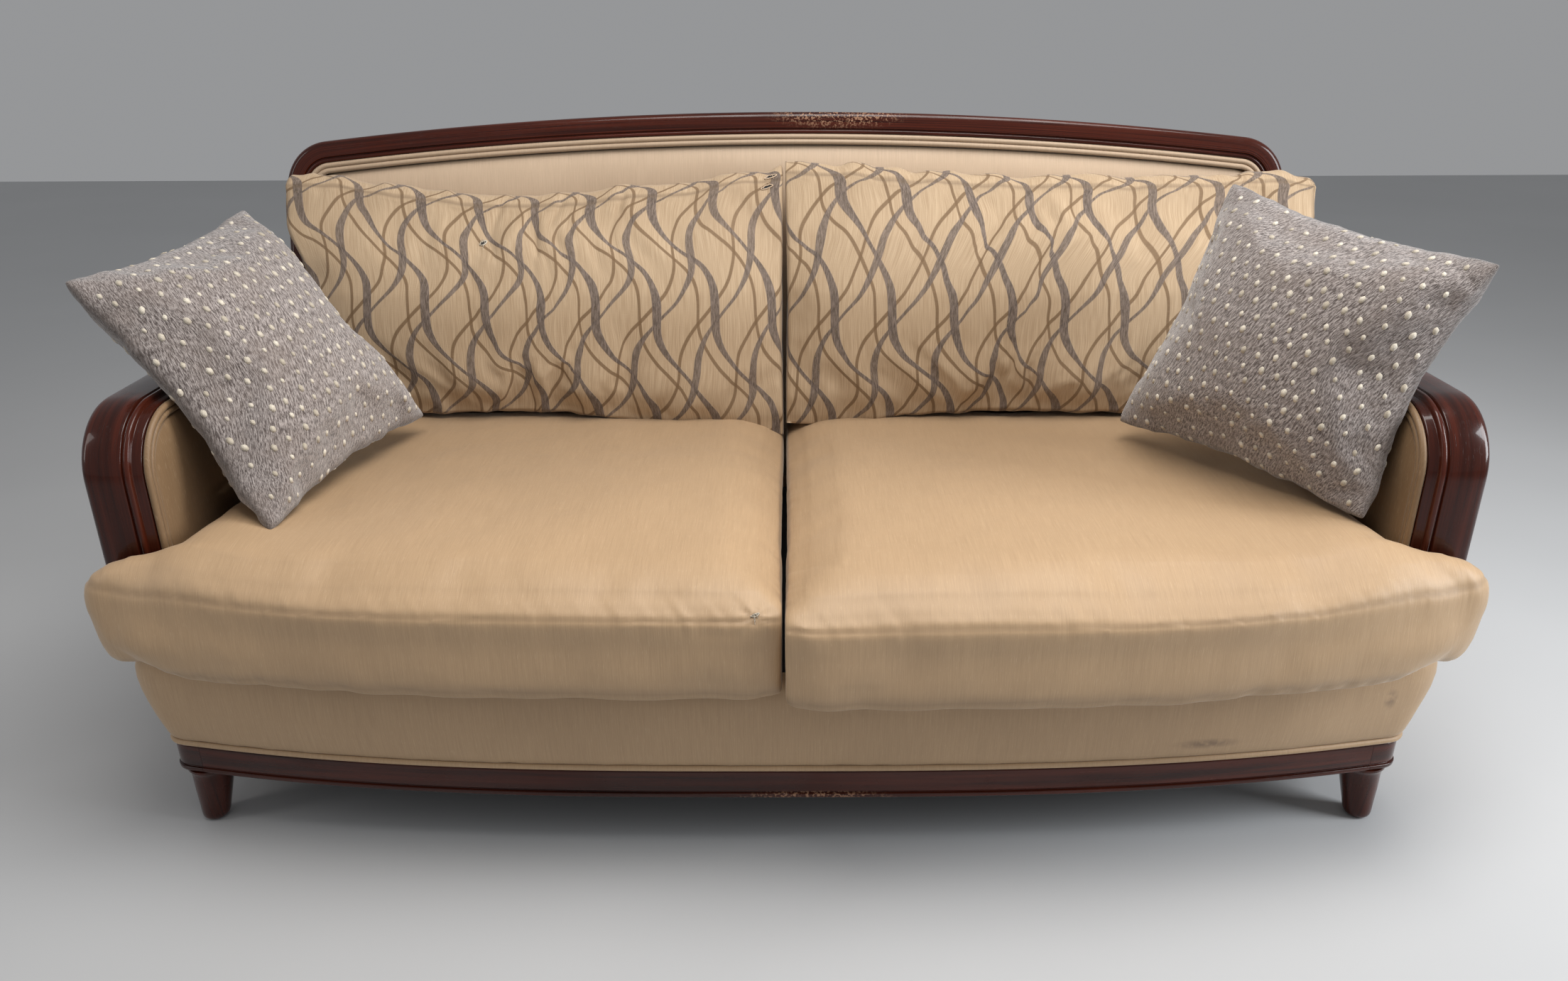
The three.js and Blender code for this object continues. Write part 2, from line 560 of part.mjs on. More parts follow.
/** A stuffed cushion from outer x to inner x; ear is how far it spreads outwards over the arm. */
function backCushion(outerX, innerX, ear, rise) {
  const outlines = BACK_CUSHION_STATIONS.map(([, shrink]) => BACK_CUSHION_SIDE.map((p) => {
    const lifted = new THREE.Vector2(p.x, BACK_CUSHION_FOOT + (p.y - BACK_CUSHION_FOOT) * rise);
    const kept = lifted.clone().lerp(BACK_CUSHION_MIDDLE, shrink);
    return new THREE.Vector2(kept.x, Math.max(kept.y, BACK_CUSHION_FOOT));
  }));
  return loft(outlines, (p, k) => {
    const along = (BACK_CUSHION_STATIONS[k][0] + 1) / 2;
    const overArm = THREE.MathUtils.smoothstep(p.y, ARM_TOP + 60, ARM_TOP + 160);
    return new THREE.Vector3(mix(outerX + Math.sign(outerX) * ear * overArm, innerX, along), p.x, p.y);
  });
}
add('back_cushion_left', backCushion(-842, -6, 36, 1), WAVY_CLOTH);
add('back_cushion_right', backCushion(842, 8, 92, 1.03), WAVY_CLOTH);

const FRONT_SHARE = 0.64;        // share of a pillow's thickness on its free side
const RIM_DRAW = 0.04;           // how far a pillow's rim bows in, as a share of its width

/**
 * A square pillow from its four seam corners: a thin rim that bows in between the corners, and a
 * thickness that swells in the middle, more on the free face than on the one that rests on the arm.
 */
function pillow(corners, thickness) {
  const [bottomLeft, bottomRight, topRight, topLeft] = corners.map((c) => new THREE.Vector3(...c));
  const width = bottomRight.distanceTo(bottomLeft);
  const across = bottomRight.clone().sub(bottomLeft).add(topRight.clone().sub(topLeft)).normalize();
  const up = topLeft.clone().sub(bottomLeft).add(topRight.clone().sub(bottomRight)).normalize();
  const normal = across.clone().cross(up).normalize();
  const steps = 10;
  const points = [];
  const indexOf = [new Map(), new Map()];
  for (const face of [0, 1]) {
    for (let i = 0; i <= steps; i += 1) {
      for (let j = 0; j <= steps; j += 1) {
        const key = i * (steps + 1) + j;
        const onRim = i === 0 || j === 0 || i === steps || j === steps;
        if (face === 1 && onRim) {
          indexOf[1].set(key, indexOf[0].get(key));
          continue;
        }
        const u = Math.sin(((i / steps) * 2 - 1) * (Math.PI / 2));
        const v = Math.sin(((j / steps) * 2 - 1) * (Math.PI / 2));
        const low = bottomLeft.clone().lerp(bottomRight, (u + 1) / 2);
        const high = topLeft.clone().lerp(topRight, (u + 1) / 2);
        const at = low.lerp(high, (v + 1) / 2);
        at.addScaledVector(across, -RIM_DRAW * u * (1 - v * v) * width);
        at.addScaledVector(up, -RIM_DRAW * v * (1 - u * u) * width);
        const swell = thickness * ((1 - u * u) * (1 - v * v)) ** 0.7;
        at.addScaledVector(normal, (face === 0 ? FRONT_SHARE : FRONT_SHARE - 1) * swell);
        indexOf[face].set(key, points.length);
        points.push(at);
      }
    }
  }
  const triangles = [];
  for (const face of [0, 1]) {
    for (let i = 0; i < steps; i += 1) {
      for (let j = 0; j < steps; j += 1) {
        const [a, b, c, d] = [[0, 0], [1, 0], [1, 1], [0, 1]]
          .map(([di, dj]) => indexOf[face].get((i + di) * (steps + 1) + j + dj));
        triangles.push(face === 0 ? [a, b, c] : [a, c, b]);
        triangles.push(face === 0 ? [a, c, d] : [a, d, c]);
      }
    }
  }
  return meshFrom(points, triangles);
}

// Corners of a pillow in order round its rim, starting at the lower front one.
add('throw_pillow_left', pillow(
  [[-714, -280, 490], [-619, 118, 519], [-865, 136, 851], [-957, -207, 812]], 125,
), PILLOW_CLOTH);
add('throw_pillow_right', pillow(
  [[563, 79, 519], [798, -278, 502], [921, -246, 836], [706, 111, 887]], 125,
), PILLOW_CLOTH);

export default sofa;
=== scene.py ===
"""Two-seat show-wood sofa: the detailed visual model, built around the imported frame."""

from __future__ import annotations

import logging
import math
from dataclasses import dataclass, field
from enum import Enum
from typing import Any, Callable, Iterable, Sequence

import bmesh
import bpy
import numpy as np
from mathutils import Matrix, Vector, noise
from mathutils.bvhtree import BVHTree


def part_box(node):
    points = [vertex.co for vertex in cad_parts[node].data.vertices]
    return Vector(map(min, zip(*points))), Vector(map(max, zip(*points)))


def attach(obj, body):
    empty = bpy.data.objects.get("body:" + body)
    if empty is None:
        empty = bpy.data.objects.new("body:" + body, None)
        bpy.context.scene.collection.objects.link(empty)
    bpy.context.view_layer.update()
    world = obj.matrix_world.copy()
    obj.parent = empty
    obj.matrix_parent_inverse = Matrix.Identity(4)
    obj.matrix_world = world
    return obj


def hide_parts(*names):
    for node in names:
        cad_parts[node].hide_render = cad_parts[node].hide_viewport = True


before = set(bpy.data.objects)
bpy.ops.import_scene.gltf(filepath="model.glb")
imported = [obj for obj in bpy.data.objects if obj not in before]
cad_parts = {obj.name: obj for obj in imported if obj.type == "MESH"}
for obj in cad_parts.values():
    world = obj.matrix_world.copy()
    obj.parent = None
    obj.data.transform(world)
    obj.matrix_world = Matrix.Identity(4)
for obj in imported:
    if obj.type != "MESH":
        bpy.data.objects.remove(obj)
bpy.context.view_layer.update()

logging.basicConfig(level=logging.INFO, format="%(message)s")
LOG = logging.getLogger("sofa")

Point2 = tuple[float, float]
Point3 = tuple[float, float, float]
Colour = tuple[float, float, float]

MM = 0.001
ROOT = "root"
UP: Point3 = (0.0, 0.0, 1.0)


# ---- Node building ----


class Value:
    """One socket of a node tree, with arithmetic that adds Math nodes."""

    def __init__(self, kit: "NodeKit", socket: bpy.types.NodeSocket) -> None:
        """Wraps a socket.

        Args:
            kit: The builder of the tree the socket is in.
            socket: An output socket.
        """
        self.kit = kit
        self.socket = socket

    def _math(self, operation: str, *values: "Value | float") -> "Value":
        """Adds a Math node on these values and returns its result."""
        inputs = dict(enumerate(values))
        return self.kit.add("ShaderNodeMath", {"operation": operation}, inputs)

    def __add__(self, other: "Value | float") -> "Value":
        """self + other."""
        return self._math("ADD", self, other)

    __radd__ = __add__

    def __mul__(self, other: "Value | float") -> "Value":
        """self * other."""
        return self._math("MULTIPLY", self, other)

    __rmul__ = __mul__

    def __sub__(self, other: "Value | float") -> "Value":
        """self - other."""
        return self._math("SUBTRACT", self, other)

    def __rsub__(self, other: "Value | float") -> "Value":
        """other - self."""
        return self._math("SUBTRACT", other, self)

    def __truediv__(self, other: "Value | float") -> "Value":
        """self / other."""
        return self._math("DIVIDE", self, other)

    def __pow__(self, other: "Value | float") -> "Value":
        """self to the power of other."""
        return self._math("POWER", self, other)

    def __abs__(self) -> "Value":
        """The size of self."""
        return self._math("ABSOLUTE", self)

    def sin(self) -> "Value":
        """Sine, of radians."""
        return self._math("SINE", self)

    def cos(self) -> "Value":
        """Cosine, of radians."""
        return self._math("COSINE", self)

    def fract(self) -> "Value":
        """What is over the whole number below."""
        return self._math("FRACT", self)

    def least(self, other: "Value | float") -> "Value":
        """The smaller of the two."""
        return self._math("MINIMUM", self, other)

    def most(self, other: "Value | float") -> "Value":
        """The larger of the two."""
        return self._math("MAXIMUM", self, other)

    def step(self, low: float, high: float) -> "Value":
        """Smooth step from 0 at low to 1 at high; the other way round if low is above high."""
        settings = {"interpolation_type": "SMOOTHSTEP"}
        if low > high:
            return 1.0 - self.step(high, low)
        inputs = {"Value": self, "From Min": low, "From Max": high}
        return self.kit.add("ShaderNodeMapRange", settings, inputs)


class NodeKit:
    """Adds nodes to one tree, for shaders and for geometry alike."""

    def __init__(self, tree: bpy.types.NodeTree) -> None:
        """Starts on a tree.

        Args:
            tree: A shader or geometry node tree.
        """
        self.tree = tree

    def add(
        self,
        kind: str,
        settings: dict[str, Any] | None = None,
        inputs: dict[Any, Any] | None = None,
        output: int | str = 0,
    ) -> Value:
        """Adds one node.

        Args:
            kind: The node's type name.
            settings: Its properties, set first.
            inputs: Values or links by socket name or number.
            output: The output to return.

        Returns:
            The chosen output.
        """
        node = self.tree.nodes.new(kind)
        for name, setting in (settings or {}).items():
            setattr(node, name, setting)
        for key, value in (inputs or {}).items():
            self.feed(node.inputs[key], value)
        outputs = node.outputs
        return Value(self, outputs[output]) if len(outputs) else Value(self, None)

    def feed(self, socket: bpy.types.NodeSocket, value: Any) -> None:
        """Links a Value to an input, or sets a plain value on it."""
        if isinstance(value, Value):
            self.tree.links.new(value.socket, socket)
        elif isinstance(value, tuple) and len(value) == 3 and socket.type == "RGBA":
            socket.default_value = (*value, 1.0)
        else:
            socket.default_value = value

    def mix(self, factor: Value | float, low: Any, high: Any) -> Value:
        """Colour between low and high."""
        settings = {"data_type": "RGBA"}
        return self.add("ShaderNodeMix", settings, {0: factor, 6: low, 7: high}, 2)

    def vector(self, x: Any = 0.0, y: Any = 0.0, z: Any = 0.0) -> Value:
        """A vector of three values."""
        return self.add("ShaderNodeCombineXYZ", None, {0: x, 1: y, 2: z})

    def split(self, vector: Value) -> tuple[Value, Value, Value]:
        """The three values of a vector."""
        node = self.tree.nodes.new("ShaderNodeSeparateXYZ")
        self.feed(node.inputs[0], vector)
        return tuple(Value(self, output) for output in node.outputs)

    def noise(self, vector: Value, scale: float, detail: float = 2.0, rough: float = 0.5) -> Value:
        """Fractal noise, from about 0 to 1."""
        inputs = {"Vector": vector, "Scale": scale, "Detail": detail, "Roughness": rough}
        return self.add("ShaderNodeTexNoise", None, inputs)

    def bump(self, height: Value, strength: float, distance: float) -> Value:
        """A normal that follows a height."""
        inputs = {"Height": height, "Strength": strength, "Distance": distance}
        return self.add("ShaderNodeBump", None, inputs)

    def attribute(self, name: str) -> Value:
        """A number stored on the mesh's points."""
        return self.add("ShaderNodeAttribute", {"attribute_name": name}, None, "Fac")

    def place(self) -> Value:
        """The point's place in metres."""
        return self.add("ShaderNodeTexCoord", None, None, "Object")

    def strands(self, where: tuple[Any, ...], detail: float = 2.0, rough: float = 0.5) -> Value:
        """Noise at a place whose three values are already scaled."""
        return self.noise(self.vector(*where), 1.0, detail, rough)


@dataclass(frozen=True)
class Patch:
    """A soft-edged spot on a surface, such as a smudge or a rubbed place."""

    centre: Point3
    radius: Point3

    def mask(self, kit: NodeKit, place: Value) -> Value:
        """How far a point is inside the spot: 1 at its middle and 0 outside it."""
        settings = {"operation": "SUBTRACT"}
        offset = kit.add("ShaderNodeVectorMath", settings, {0: place, 1: self.centre})
        divide = {"operation": "DIVIDE"}
        scaled = kit.add("ShaderNodeVectorMath", divide, {0: offset, 1: self.radius})
        reach = kit.add("ShaderNodeVectorMath", {"operation": "LENGTH"}, {0: scaled}, "Value")
        return (1.0 - reach).most(0.0)


# ---- Finishes ----


class Finish:
    """A surface finish; each kind paints itself into a shader."""

    name: str
    fixed: dict[str, Any] = {}

    def paint(self, kit: NodeKit) -> dict[str, Value]:
        """Returns the shader inputs that vary over the surface."""
        raise NotImplementedError

    def material(self) -> bpy.types.Material:
        """The Blender material of this finish, made once."""
        known = bpy.data.materials.get(self.name)
        if known:
            return known
        made = bpy.data.materials.new(self.name)
        made.use_nodes = True
        made.node_tree.nodes.clear()
        kit = NodeKit(made.node_tree)
        surface = kit.add("ShaderNodeBsdfPrincipled", None, {**self.fixed, **self.paint(kit)})
        kit.add("ShaderNodeOutputMaterial", None, {"Surface": surface})
        return made


@dataclass(frozen=True)
class Mahogany(Finish):
    """Polished dark red-brown timber; its grain follows the stored along and across lengths."""

    name: str = "mahogany"
    pale_patches: tuple[Patch, ...] = ()
    fixed = {"Coat Roughness": 0.07, "Coat IOR": 1.38, "Specular IOR Level": 0.14}

    def paint(self, kit: NodeKit) -> dict[str, Value]:
        """Grain streaks, pores, a slow change of tone, and pale speckled patches."""
        along, across = kit.attribute("along"), kit.attribute("across")
        place = kit.place()
        streaks = kit.strands((along * 2.2, across * 60.0), 5.0, 0.6)
        broad = kit.strands((along * 1.3, across * 14.0, 4.0), 2.0)
        pores = kit.strands((along * 45.0, across * 1300.0), 1.0).step(0.34, 0.24)
        tone = kit.mix(streaks.step(0.3, 0.7), (0.019, 0.0034, 0.0016), (0.082, 0.0140, 0.0055))
        tone = kit.mix(broad.step(0.35, 0.7) * 0.5, tone, (0.022, 0.0046, 0.0022))
        tone = kit.mix(pores * 0.6, tone, (0.006, 0.002, 0.0015))
        # Paler speckled patches: rubbed wear along the plinth's front edge, and a pale patch at the
        # middle of the crest.
        rubbed: Value | float = 0.0
        specks = kit.noise(place, 260.0, 3.0, 0.65).step(0.50, 0.60)
        for patch in self.pale_patches:
            rubbed = patch.mask(kit, place).step(0.0, 0.55) * specks + rubbed
        dust = kit.noise(place, 9.0, 4.0).step(0.45, 0.75)
        rough = 0.20 + streaks * 0.10 + dust * 0.08
        coat = 0.72 - dust * 0.25
        if self.pale_patches:
            tone = kit.mix(rubbed.least(1.0) * 0.8, tone, (0.36, 0.20, 0.12))
            rough = rough + rubbed * 0.25
        height = streaks * 0.3 - pores * 0.5 + kit.noise(place, 22.0, 1.0) * 2.0
        return {
            "Base Color": tone,
            "Roughness": rough.least(0.8),
            "Coat Weight": coat.most(0.2),
            "Normal": kit.bump(height, 0.35, 0.0007),
        }


class Threads(Enum):
    """The direction across the streaks of a cloth."""

    ACROSS_X = "x"
    ACROSS_Y = "y"
    ACROSS_SWEEP = "sweep"


@dataclass(frozen=True)
class StreakedSatin(Finish):
    """Tan satin weave with fine streaks along its warp."""

    name: str = "tan_satin"
    threads: Threads = Threads.ACROSS_X
    smudges: tuple[Patch, ...] = ()
    light: Colour = (0.530, 0.362, 0.212)
    dark: Colour = (0.385, 0.252, 0.142)
    fixed = {
        "Sheen Weight": 0.30,
        "Sheen Roughness": 0.30,
        "Sheen Tint": (1.0, 0.93, 0.82, 1.0),
        "Specular IOR Level": 0.42,
    }

    def paint(self, kit: NodeKit) -> dict[str, Value]:
        """Thread streaks in two widths, slow soiling, painted shade from the stored seam weights,
        and smudges.
        """
        place = kit.place()
        x, y, z = kit.split(place)
        if self.threads is Threads.ACROSS_X:
            across, down = x, y + z
        elif self.threads is Threads.ACROSS_Y:
            across, down = y, z + x
        else:
            across, down = kit.attribute("along"), kit.attribute("across")
        fine = kit.strands((across * 780.0, down * 16.0), 2.0, 0.7)
        bold = kit.strands((across * 210.0, down * 5.0, 3.0), 2.0, 0.6)
        slub = kit.strands((across * 900.0, down * 60.0, 7.0), 1.0).step(0.62, 0.74)
        weave = (fine * 0.85 + bold * 0.25).step(0.25, 0.85)
        tone = kit.mix(weave * 0.55 + 0.28, self.dark, self.light)
        tone = kit.mix(slub * 0.22, tone, (0.66, 0.50, 0.33))
        soil = kit.noise(place, 2.6, 4.0, 0.55).step(0.42, 0.78)
        tone = kit.mix(soil * 0.26, tone, (0.30, 0.20, 0.12))
        # Painted shade: the stored seam weights darken the seams, and on the seat cushions also the
        # rear of the seat and the underside of the front lip.
        tone = kit.mix(kit.attribute("seam") * 0.55, tone, (0.16, 0.10, 0.055))
        broken = kit.noise(place, 85.0, 3.0)
        for smudge in self.smudges:
            mark = smudge.mask(kit, place).step(0.0, 0.9) * broken.step(0.25, 0.6)
            tone = kit.mix(mark * 0.6, tone, (0.13, 0.085, 0.06))
        weft = ((down * (2.0 * math.pi / 0.0011)).sin() * 0.5 + 0.5) * 0.35
        height = fine * 0.8 + bold * 0.3 + weft + slub * 0.4
        return {
            "Base Color": tone,
            "Roughness": 0.37 + fine * 0.12 + soil * 0.08,
            "Normal": kit.bump(height, 0.30, 0.0006),
        }


@dataclass(frozen=True)
class WavyJacquard(Finish):
    """Beige figured weave: mirrored S-shaped ribbons, each with thin lines beside it."""

    name: str = "wavy_jacquard"
    repeat: float = 0.096
    rise: float = 0.178
    ribbon: float = 0.0150
    line: float = 0.0042
    smudges: tuple[Patch, ...] = ()
    fixed = {
        "Sheen Weight": 0.2,
        "Sheen Roughness": 0.4,
        "Specular IOR Level": 0.35,
    }

    def _family(
        self,
        kit: NodeKit,
        u: Value,
        v: Value,
        lean: float,
        start: float,
        shift: float,
        weight: float,
    ) -> tuple[Value, Value]:
        """One family of curves.

        Args:
            kit: The shader's builder.
            u: Place across the cloth in metres.
            v: Place up the cloth in metres.
            lean: 1 for curves that drift one way going down, -1 for the other.
            start: Where in the rise the thick stretch lies, from 0 to 1.
            shift: Move across, as a share of the repeat.
            weight: Width of its ribbons, as a share of the full width.

        Returns:
            The mask of its ribbons and the mask of its thin lines.
        """
        turn = v * (-1.0 / self.rise) + start
        drift = turn - (turn * (2.0 * math.pi)).sin() * (1.0 / (2.0 * math.pi))
        swing = (turn * (2.0 * math.pi)).cos()
        place = u * (1.0 / self.repeat) - drift * lean + shift
        slope = 1.0 - (1.0 - swing) * 0.19
        off = abs((place + 0.5).fract() - 0.5) * self.repeat * slope
        width = (swing * 0.34 + 0.66) * (self.ribbon * weight / 2.0)
        ribbon = ((width - off) * 900.0 + 0.5).most(0.0).least(1.0)
        line_off = abs((place + 0.5 + 0.29).fract() - 0.5) * self.repeat * slope
        line = line_off.step(self.line * 0.72, self.line * 0.38)
        return ribbon, line

    def paint(self, kit: NodeKit) -> dict[str, Value]:
        """Ground with fine upright threads, brown lines, and grey-brown ribbons."""
        place = kit.place()
        cloth = kit.add("ShaderNodeUVMap", {"uv_map": "cloth"})
        wobble = kit.noise(cloth, 14.0, 1.0) - 0.5
        u, v, _ = kit.split(cloth)
        u = u + wobble * 0.010
        ribbon_a, line_a = self._family(kit, u, v, 1.0, 0.0, 0.0, 1.0)
        ribbon_b, line_b = self._family(kit, u, v, -1.0, 0.5, 0.34, 0.80)
        threads = kit.strands((u * 900.0, v * 16.0), 2.0, 0.7)
        cross = kit.strands((u * 60.0, v * 800.0), 1.0)
        ground = kit.mix(threads.step(0.3, 0.7), (0.375, 0.260, 0.155), (0.505, 0.375, 0.243))
        brown = kit.mix(cross, (0.120, 0.068, 0.030), (0.200, 0.120, 0.058))
        melange = kit.strands((u * 520.0, v * 60.0, 5.0), 3.0, 0.75)
        grey = kit.mix(melange.step(0.35, 0.65), (0.060, 0.043, 0.034), (0.215, 0.165, 0.135))
        tone = kit.mix(line_b * 0.85, ground, brown)
        tone = kit.mix(line_a * 0.85, tone, brown)
        flecks = melange.step(0.20, 0.42)
        tone = kit.mix(ribbon_b * flecks * 0.9, tone, grey)
        tone = kit.mix(ribbon_a * flecks * 0.95, tone, grey)
        soil = kit.noise(place, 4.0, 4.0, 0.55).step(0.45, 0.8)
        tone = kit.mix(soil * 0.18, tone, (0.32, 0.22, 0.14))
        # Painted shade along the boxing seams, from the stored seam weights.
        tone = kit.mix(kit.attribute("seam") * 0.5, tone, (0.15, 0.10, 0.06))
        broken = kit.noise(place, 120.0, 3.0)
        for smudge in self.smudges:
            mark = smudge.mask(kit, place).step(0.05, 0.5) * broken.step(0.1, 0.35)
            tone = kit.mix(mark, tone, (0.012, 0.009, 0.007))
        raised = ribbon_a.most(ribbon_b) * (melange * 0.8 + 0.5)
        height = threads * 0.5 + cross * 0.3 + raised + line_a.most(line_b) * 0.6
        return {
            "Base Color": tone,
            "Roughness": 0.66 + threads * 0.16,
            "Normal": kit.bump(height, 0.45, 0.0009),
        }


@dataclass(frozen=True)
class PillowPile(Finish):
    """Taupe pile woven in short slanting strokes, light and dark."""

    name: str = "pillow_pile"
    fixed = {"Sheen Weight": 0.55, "Sheen Roughness": 0.5, "Specular IOR Level": 0.2}

    def paint(self, kit: NodeKit) -> dict[str, Value]:
        """Strokes at two sizes over a slow change of tone."""
        u, v, _ = kit.split(kit.add("ShaderNodeUVMap", {"uv_map": "cloth"}))
        along, across = u * 0.34 + v * 0.94, u * 0.94 - v * 0.34
        strokes = kit.strands((along * 120.0, across * 480.0), 2.0, 0.7)
        fine = kit.strands((along * 330.0, across * 950.0, 6.0), 1.0)
        patches = kit.noise(kit.vector(u, v, 2.0), 22.0, 3.0)
        mixed = (strokes * 0.75 + fine * 0.25).step(0.36, 0.66)
        tone = kit.mix(mixed, (0.075, 0.056, 0.050), (0.450, 0.395, 0.370))
        tone = kit.mix(patches.step(0.4, 0.7) * 0.35, tone, (0.21, 0.165, 0.140))
        # Painted shade along the rim seam, from the stored seam weights.
        tone = kit.mix(kit.attribute("seam") * 0.6, tone, (0.07, 0.05, 0.04))
        height = strokes + fine * 0.6
        return {
            "Base Color": tone,
            "Roughness": 0.86 + fine * 0.1,
            "Normal": kit.bump(height, 0.8, 0.0022),
        }


@dataclass(frozen=True)
class CreamTuft(Finish):
    """Cream yarn of the small raised dots."""

    name: str = "cream_tuft"
    fixed = {"Sheen Weight": 0.3}

    def paint(self, kit: NodeKit) -> dict[str, Value]:
        """Yarn streaks and a change of tone from dot to dot."""
        place = kit.place()
        yarn = kit.noise(place, 900.0, 2.0)
        each = kit.noise(place, 34.0, 1.0).step(0.3, 0.7)
        tone = kit.mix(each, (0.46, 0.40, 0.31), (0.78, 0.71, 0.59))
        tone = kit.mix(yarn.step(0.6, 0.3) * 0.5, tone, (0.30, 0.25, 0.19))
        normal = kit.bump(yarn, 0.6, 0.001)
        return {"Base Color": tone, "Roughness": 0.9 + yarn * 0.05, "Normal": normal}


@dataclass(frozen=True)
class BareTimber(Finish):
    """Planed unpolished timber of the hidden frame."""

    name: str = "bare_beech"
    light: Colour = (0.50, 0.33, 0.18)
    dark: Colour = (0.33, 0.20, 0.10)

    def paint(self, kit: NodeKit) -> dict[str, Value]:
        """Grain that runs across the sofa, with darker flecks."""
        place = kit.place()
        x, y, z = kit.split(place)
        grain = kit.strands((x * 3.0, y * 60.0, z * 60.0), 4.0, 0.6)
        flecks = kit.strands((x * 60.0, y * 500.0, z * 500.0), 1.0).step(0.6, 0.7)
        tone = kit.mix(grain.step(0.3, 0.7), self.dark, self.light)
        tone = kit.mix(flecks * 0.4, tone, (0.2, 0.11, 0.05))
        normal = kit.bump(grain, 0.3, 0.0008)
        return {"Base Color": tone, "Roughness": 0.62 + grain * 0.2, "Normal": normal}


@dataclass(frozen=True)
class BlackLining(Finish):
    """Thin black felted lining."""

    name: str = "black_lining"

    def paint(self, kit: NodeKit) -> dict[str, Value]:
        """Tangled fibres and grey dust."""
        place = kit.place()
        fibres = kit.noise(place, 700.0, 3.0, 0.7)
        dust = kit.noise(place, 7.0, 4.0).step(0.45, 0.8)
        tone = kit.mix(fibres, (0.006, 0.006, 0.006), (0.030, 0.029, 0.028))
        tone = kit.mix(dust * 0.5, tone, (0.085, 0.078, 0.070))
        normal = kit.bump(fibres, 0.5, 0.0005)
        return {"Base Color": tone, "Roughness": 0.85 + fibres * 0.1, "Normal": normal}


@dataclass(frozen=True)
class StrapWeave(Finish):
    """Ribbed elastic webbing."""

    name: str = "strap_weave"

    def paint(self, kit: NodeKit) -> dict[str, Value]:
        """Crossing ribs."""
        x, y, z = kit.split(kit.place())
        ribs = (x * 1500.0).sin() * ((y + z) * 1500.0).sin() * 0.5 + 0.5
        tone = kit.mix(ribs, (0.030, 0.027, 0.024), (0.105, 0.095, 0.082))
        normal = kit.bump(ribs, 0.6, 0.0008)
        return {"Base Color": tone, "Roughness": 0.75 + ribs * 0.1, "Normal": normal}


@dataclass(frozen=True)
class DullSteel(Finish):
    """Zinc-dull steel of staples and screws."""

    name: str = "dull_steel"
    fixed = {"Metallic": 1.0}

    def paint(self, kit: NodeKit) -> dict[str, Value]:
        """Light stains."""
        place = kit.place()
        stain = kit.noise(place, 60.0, 3.0)
        tone = kit.mix(stain, (0.33, 0.32, 0.30), (0.56, 0.56, 0.55))
        return {"Base Color": tone, "Roughness": 0.35 + stain * 0.25}


@dataclass(frozen=True)
class PaleFloor(Finish):
    """Pale matt floor that the sofa stands on."""

    name: str = "pale_floor"

    def paint(self, kit: NodeKit) -> dict[str, Value]:
        """Very faint clouding."""
        cloud = kit.noise(kit.place(), 1.1, 4.0)
        tone = kit.mix(cloud, (0.455, 0.462, 0.468), (0.520, 0.526, 0.532))
        return {"Base Color": tone, "Roughness": 0.62 + cloud * 0.1}


# ---- Mesh building ----


def ease(value: np.ndarray | float, low: float, high: float) -> np.ndarray | float:
    """Smooth step of a number or an array, 0 at low and 1 at high."""
    t = np.clip((np.asarray(value, float) - low) / (high - low), 0.0, 1.0)
    return t * t * (3.0 - 2.0 * t)


def fractal(points: np.ndarray, scale: float, seed: float, octaves: int = 2) -> np.ndarray:
    """Smooth noise from about -1 to 1 at each point.

    Args:
        points: Places, in metres.
        scale: Waves per metre.
        seed: Moves the noise to another part of its field.
        octaves: Number of layers, each twice as fine as the last.

    Returns:
        One number per point.
    """
    shift = Vector((seed, seed * 0.7, -seed))
    return np.array(
        [noise.fractal(Vector(p) * scale + shift, 1.0, 2.0, octaves) for p in points]
    )


def new_piece(
    name: str, points: np.ndarray, faces: Sequence[Sequence[int]], finish: Finish
) -> bpy.types.Object:
    """Makes a smooth-shaded mesh object.

    Args:
        name: The piece's name.
        points: Its points, in metres in the row frame.
        faces: Point numbers of each face.
        finish: Its surface finish.

    Returns:
        The object, linked to the scene.
    """
    mesh = bpy.data.meshes.new(name)
    mesh.from_pydata([tuple(p) for p in points], [], [list(f) for f in faces])
    piece = bpy.data.objects.new(name, mesh)
    bpy.context.scene.collection.objects.link(piece)
    mesh.materials.append(finish.material())
    mesh.shade_smooth()
    return piece


def turn_outwards(piece: bpy.types.Object, merge: float = 0.0) -> None:
    """Makes a closed mesh face outwards, merging points closer than merge first."""
    work = bmesh.new()
    work.from_mesh(piece.data)
    if merge:
        bmesh.ops.remove_doubles(work, verts=work.verts, dist=merge)
    bmesh.ops.recalc_face_normals(work, faces=work.faces)
    work.to_mesh(piece.data)
    work.free()


def positions(mesh: bpy.types.Mesh) -> np.ndarray:
    """All points of a mesh as an array."""
    out = np.zeros(len(mesh.vertices) * 3, np.float32)
    mesh.vertices.foreach_get("co", out)
    return out.reshape(-1, 3).astype(float)


def set_positions(mesh: bpy.types.Mesh, points: np.ndarray) -> None:
    """Moves all points of a mesh."""
    mesh.vertices.foreach_set("co", points.astype(np.float32).ravel())
    mesh.update()


def normals(mesh: bpy.types.Mesh) -> np.ndarray:
    """Point normals of a mesh as an array."""
    out = np.zeros(len(mesh.vertices) * 3, np.float32)
    mesh.vertices.foreach_get("normal", out)
    return out.reshape(-1, 3).astype(float)


def store(mesh: bpy.types.Mesh, name: str, values: np.ndarray) -> None:
    """Stores one number per point under a name."""
    known = mesh.attributes.get(name) or mesh.attributes.new(name, "FLOAT", "POINT")
    known.data.foreach_set("value", values.astype(np.float32))


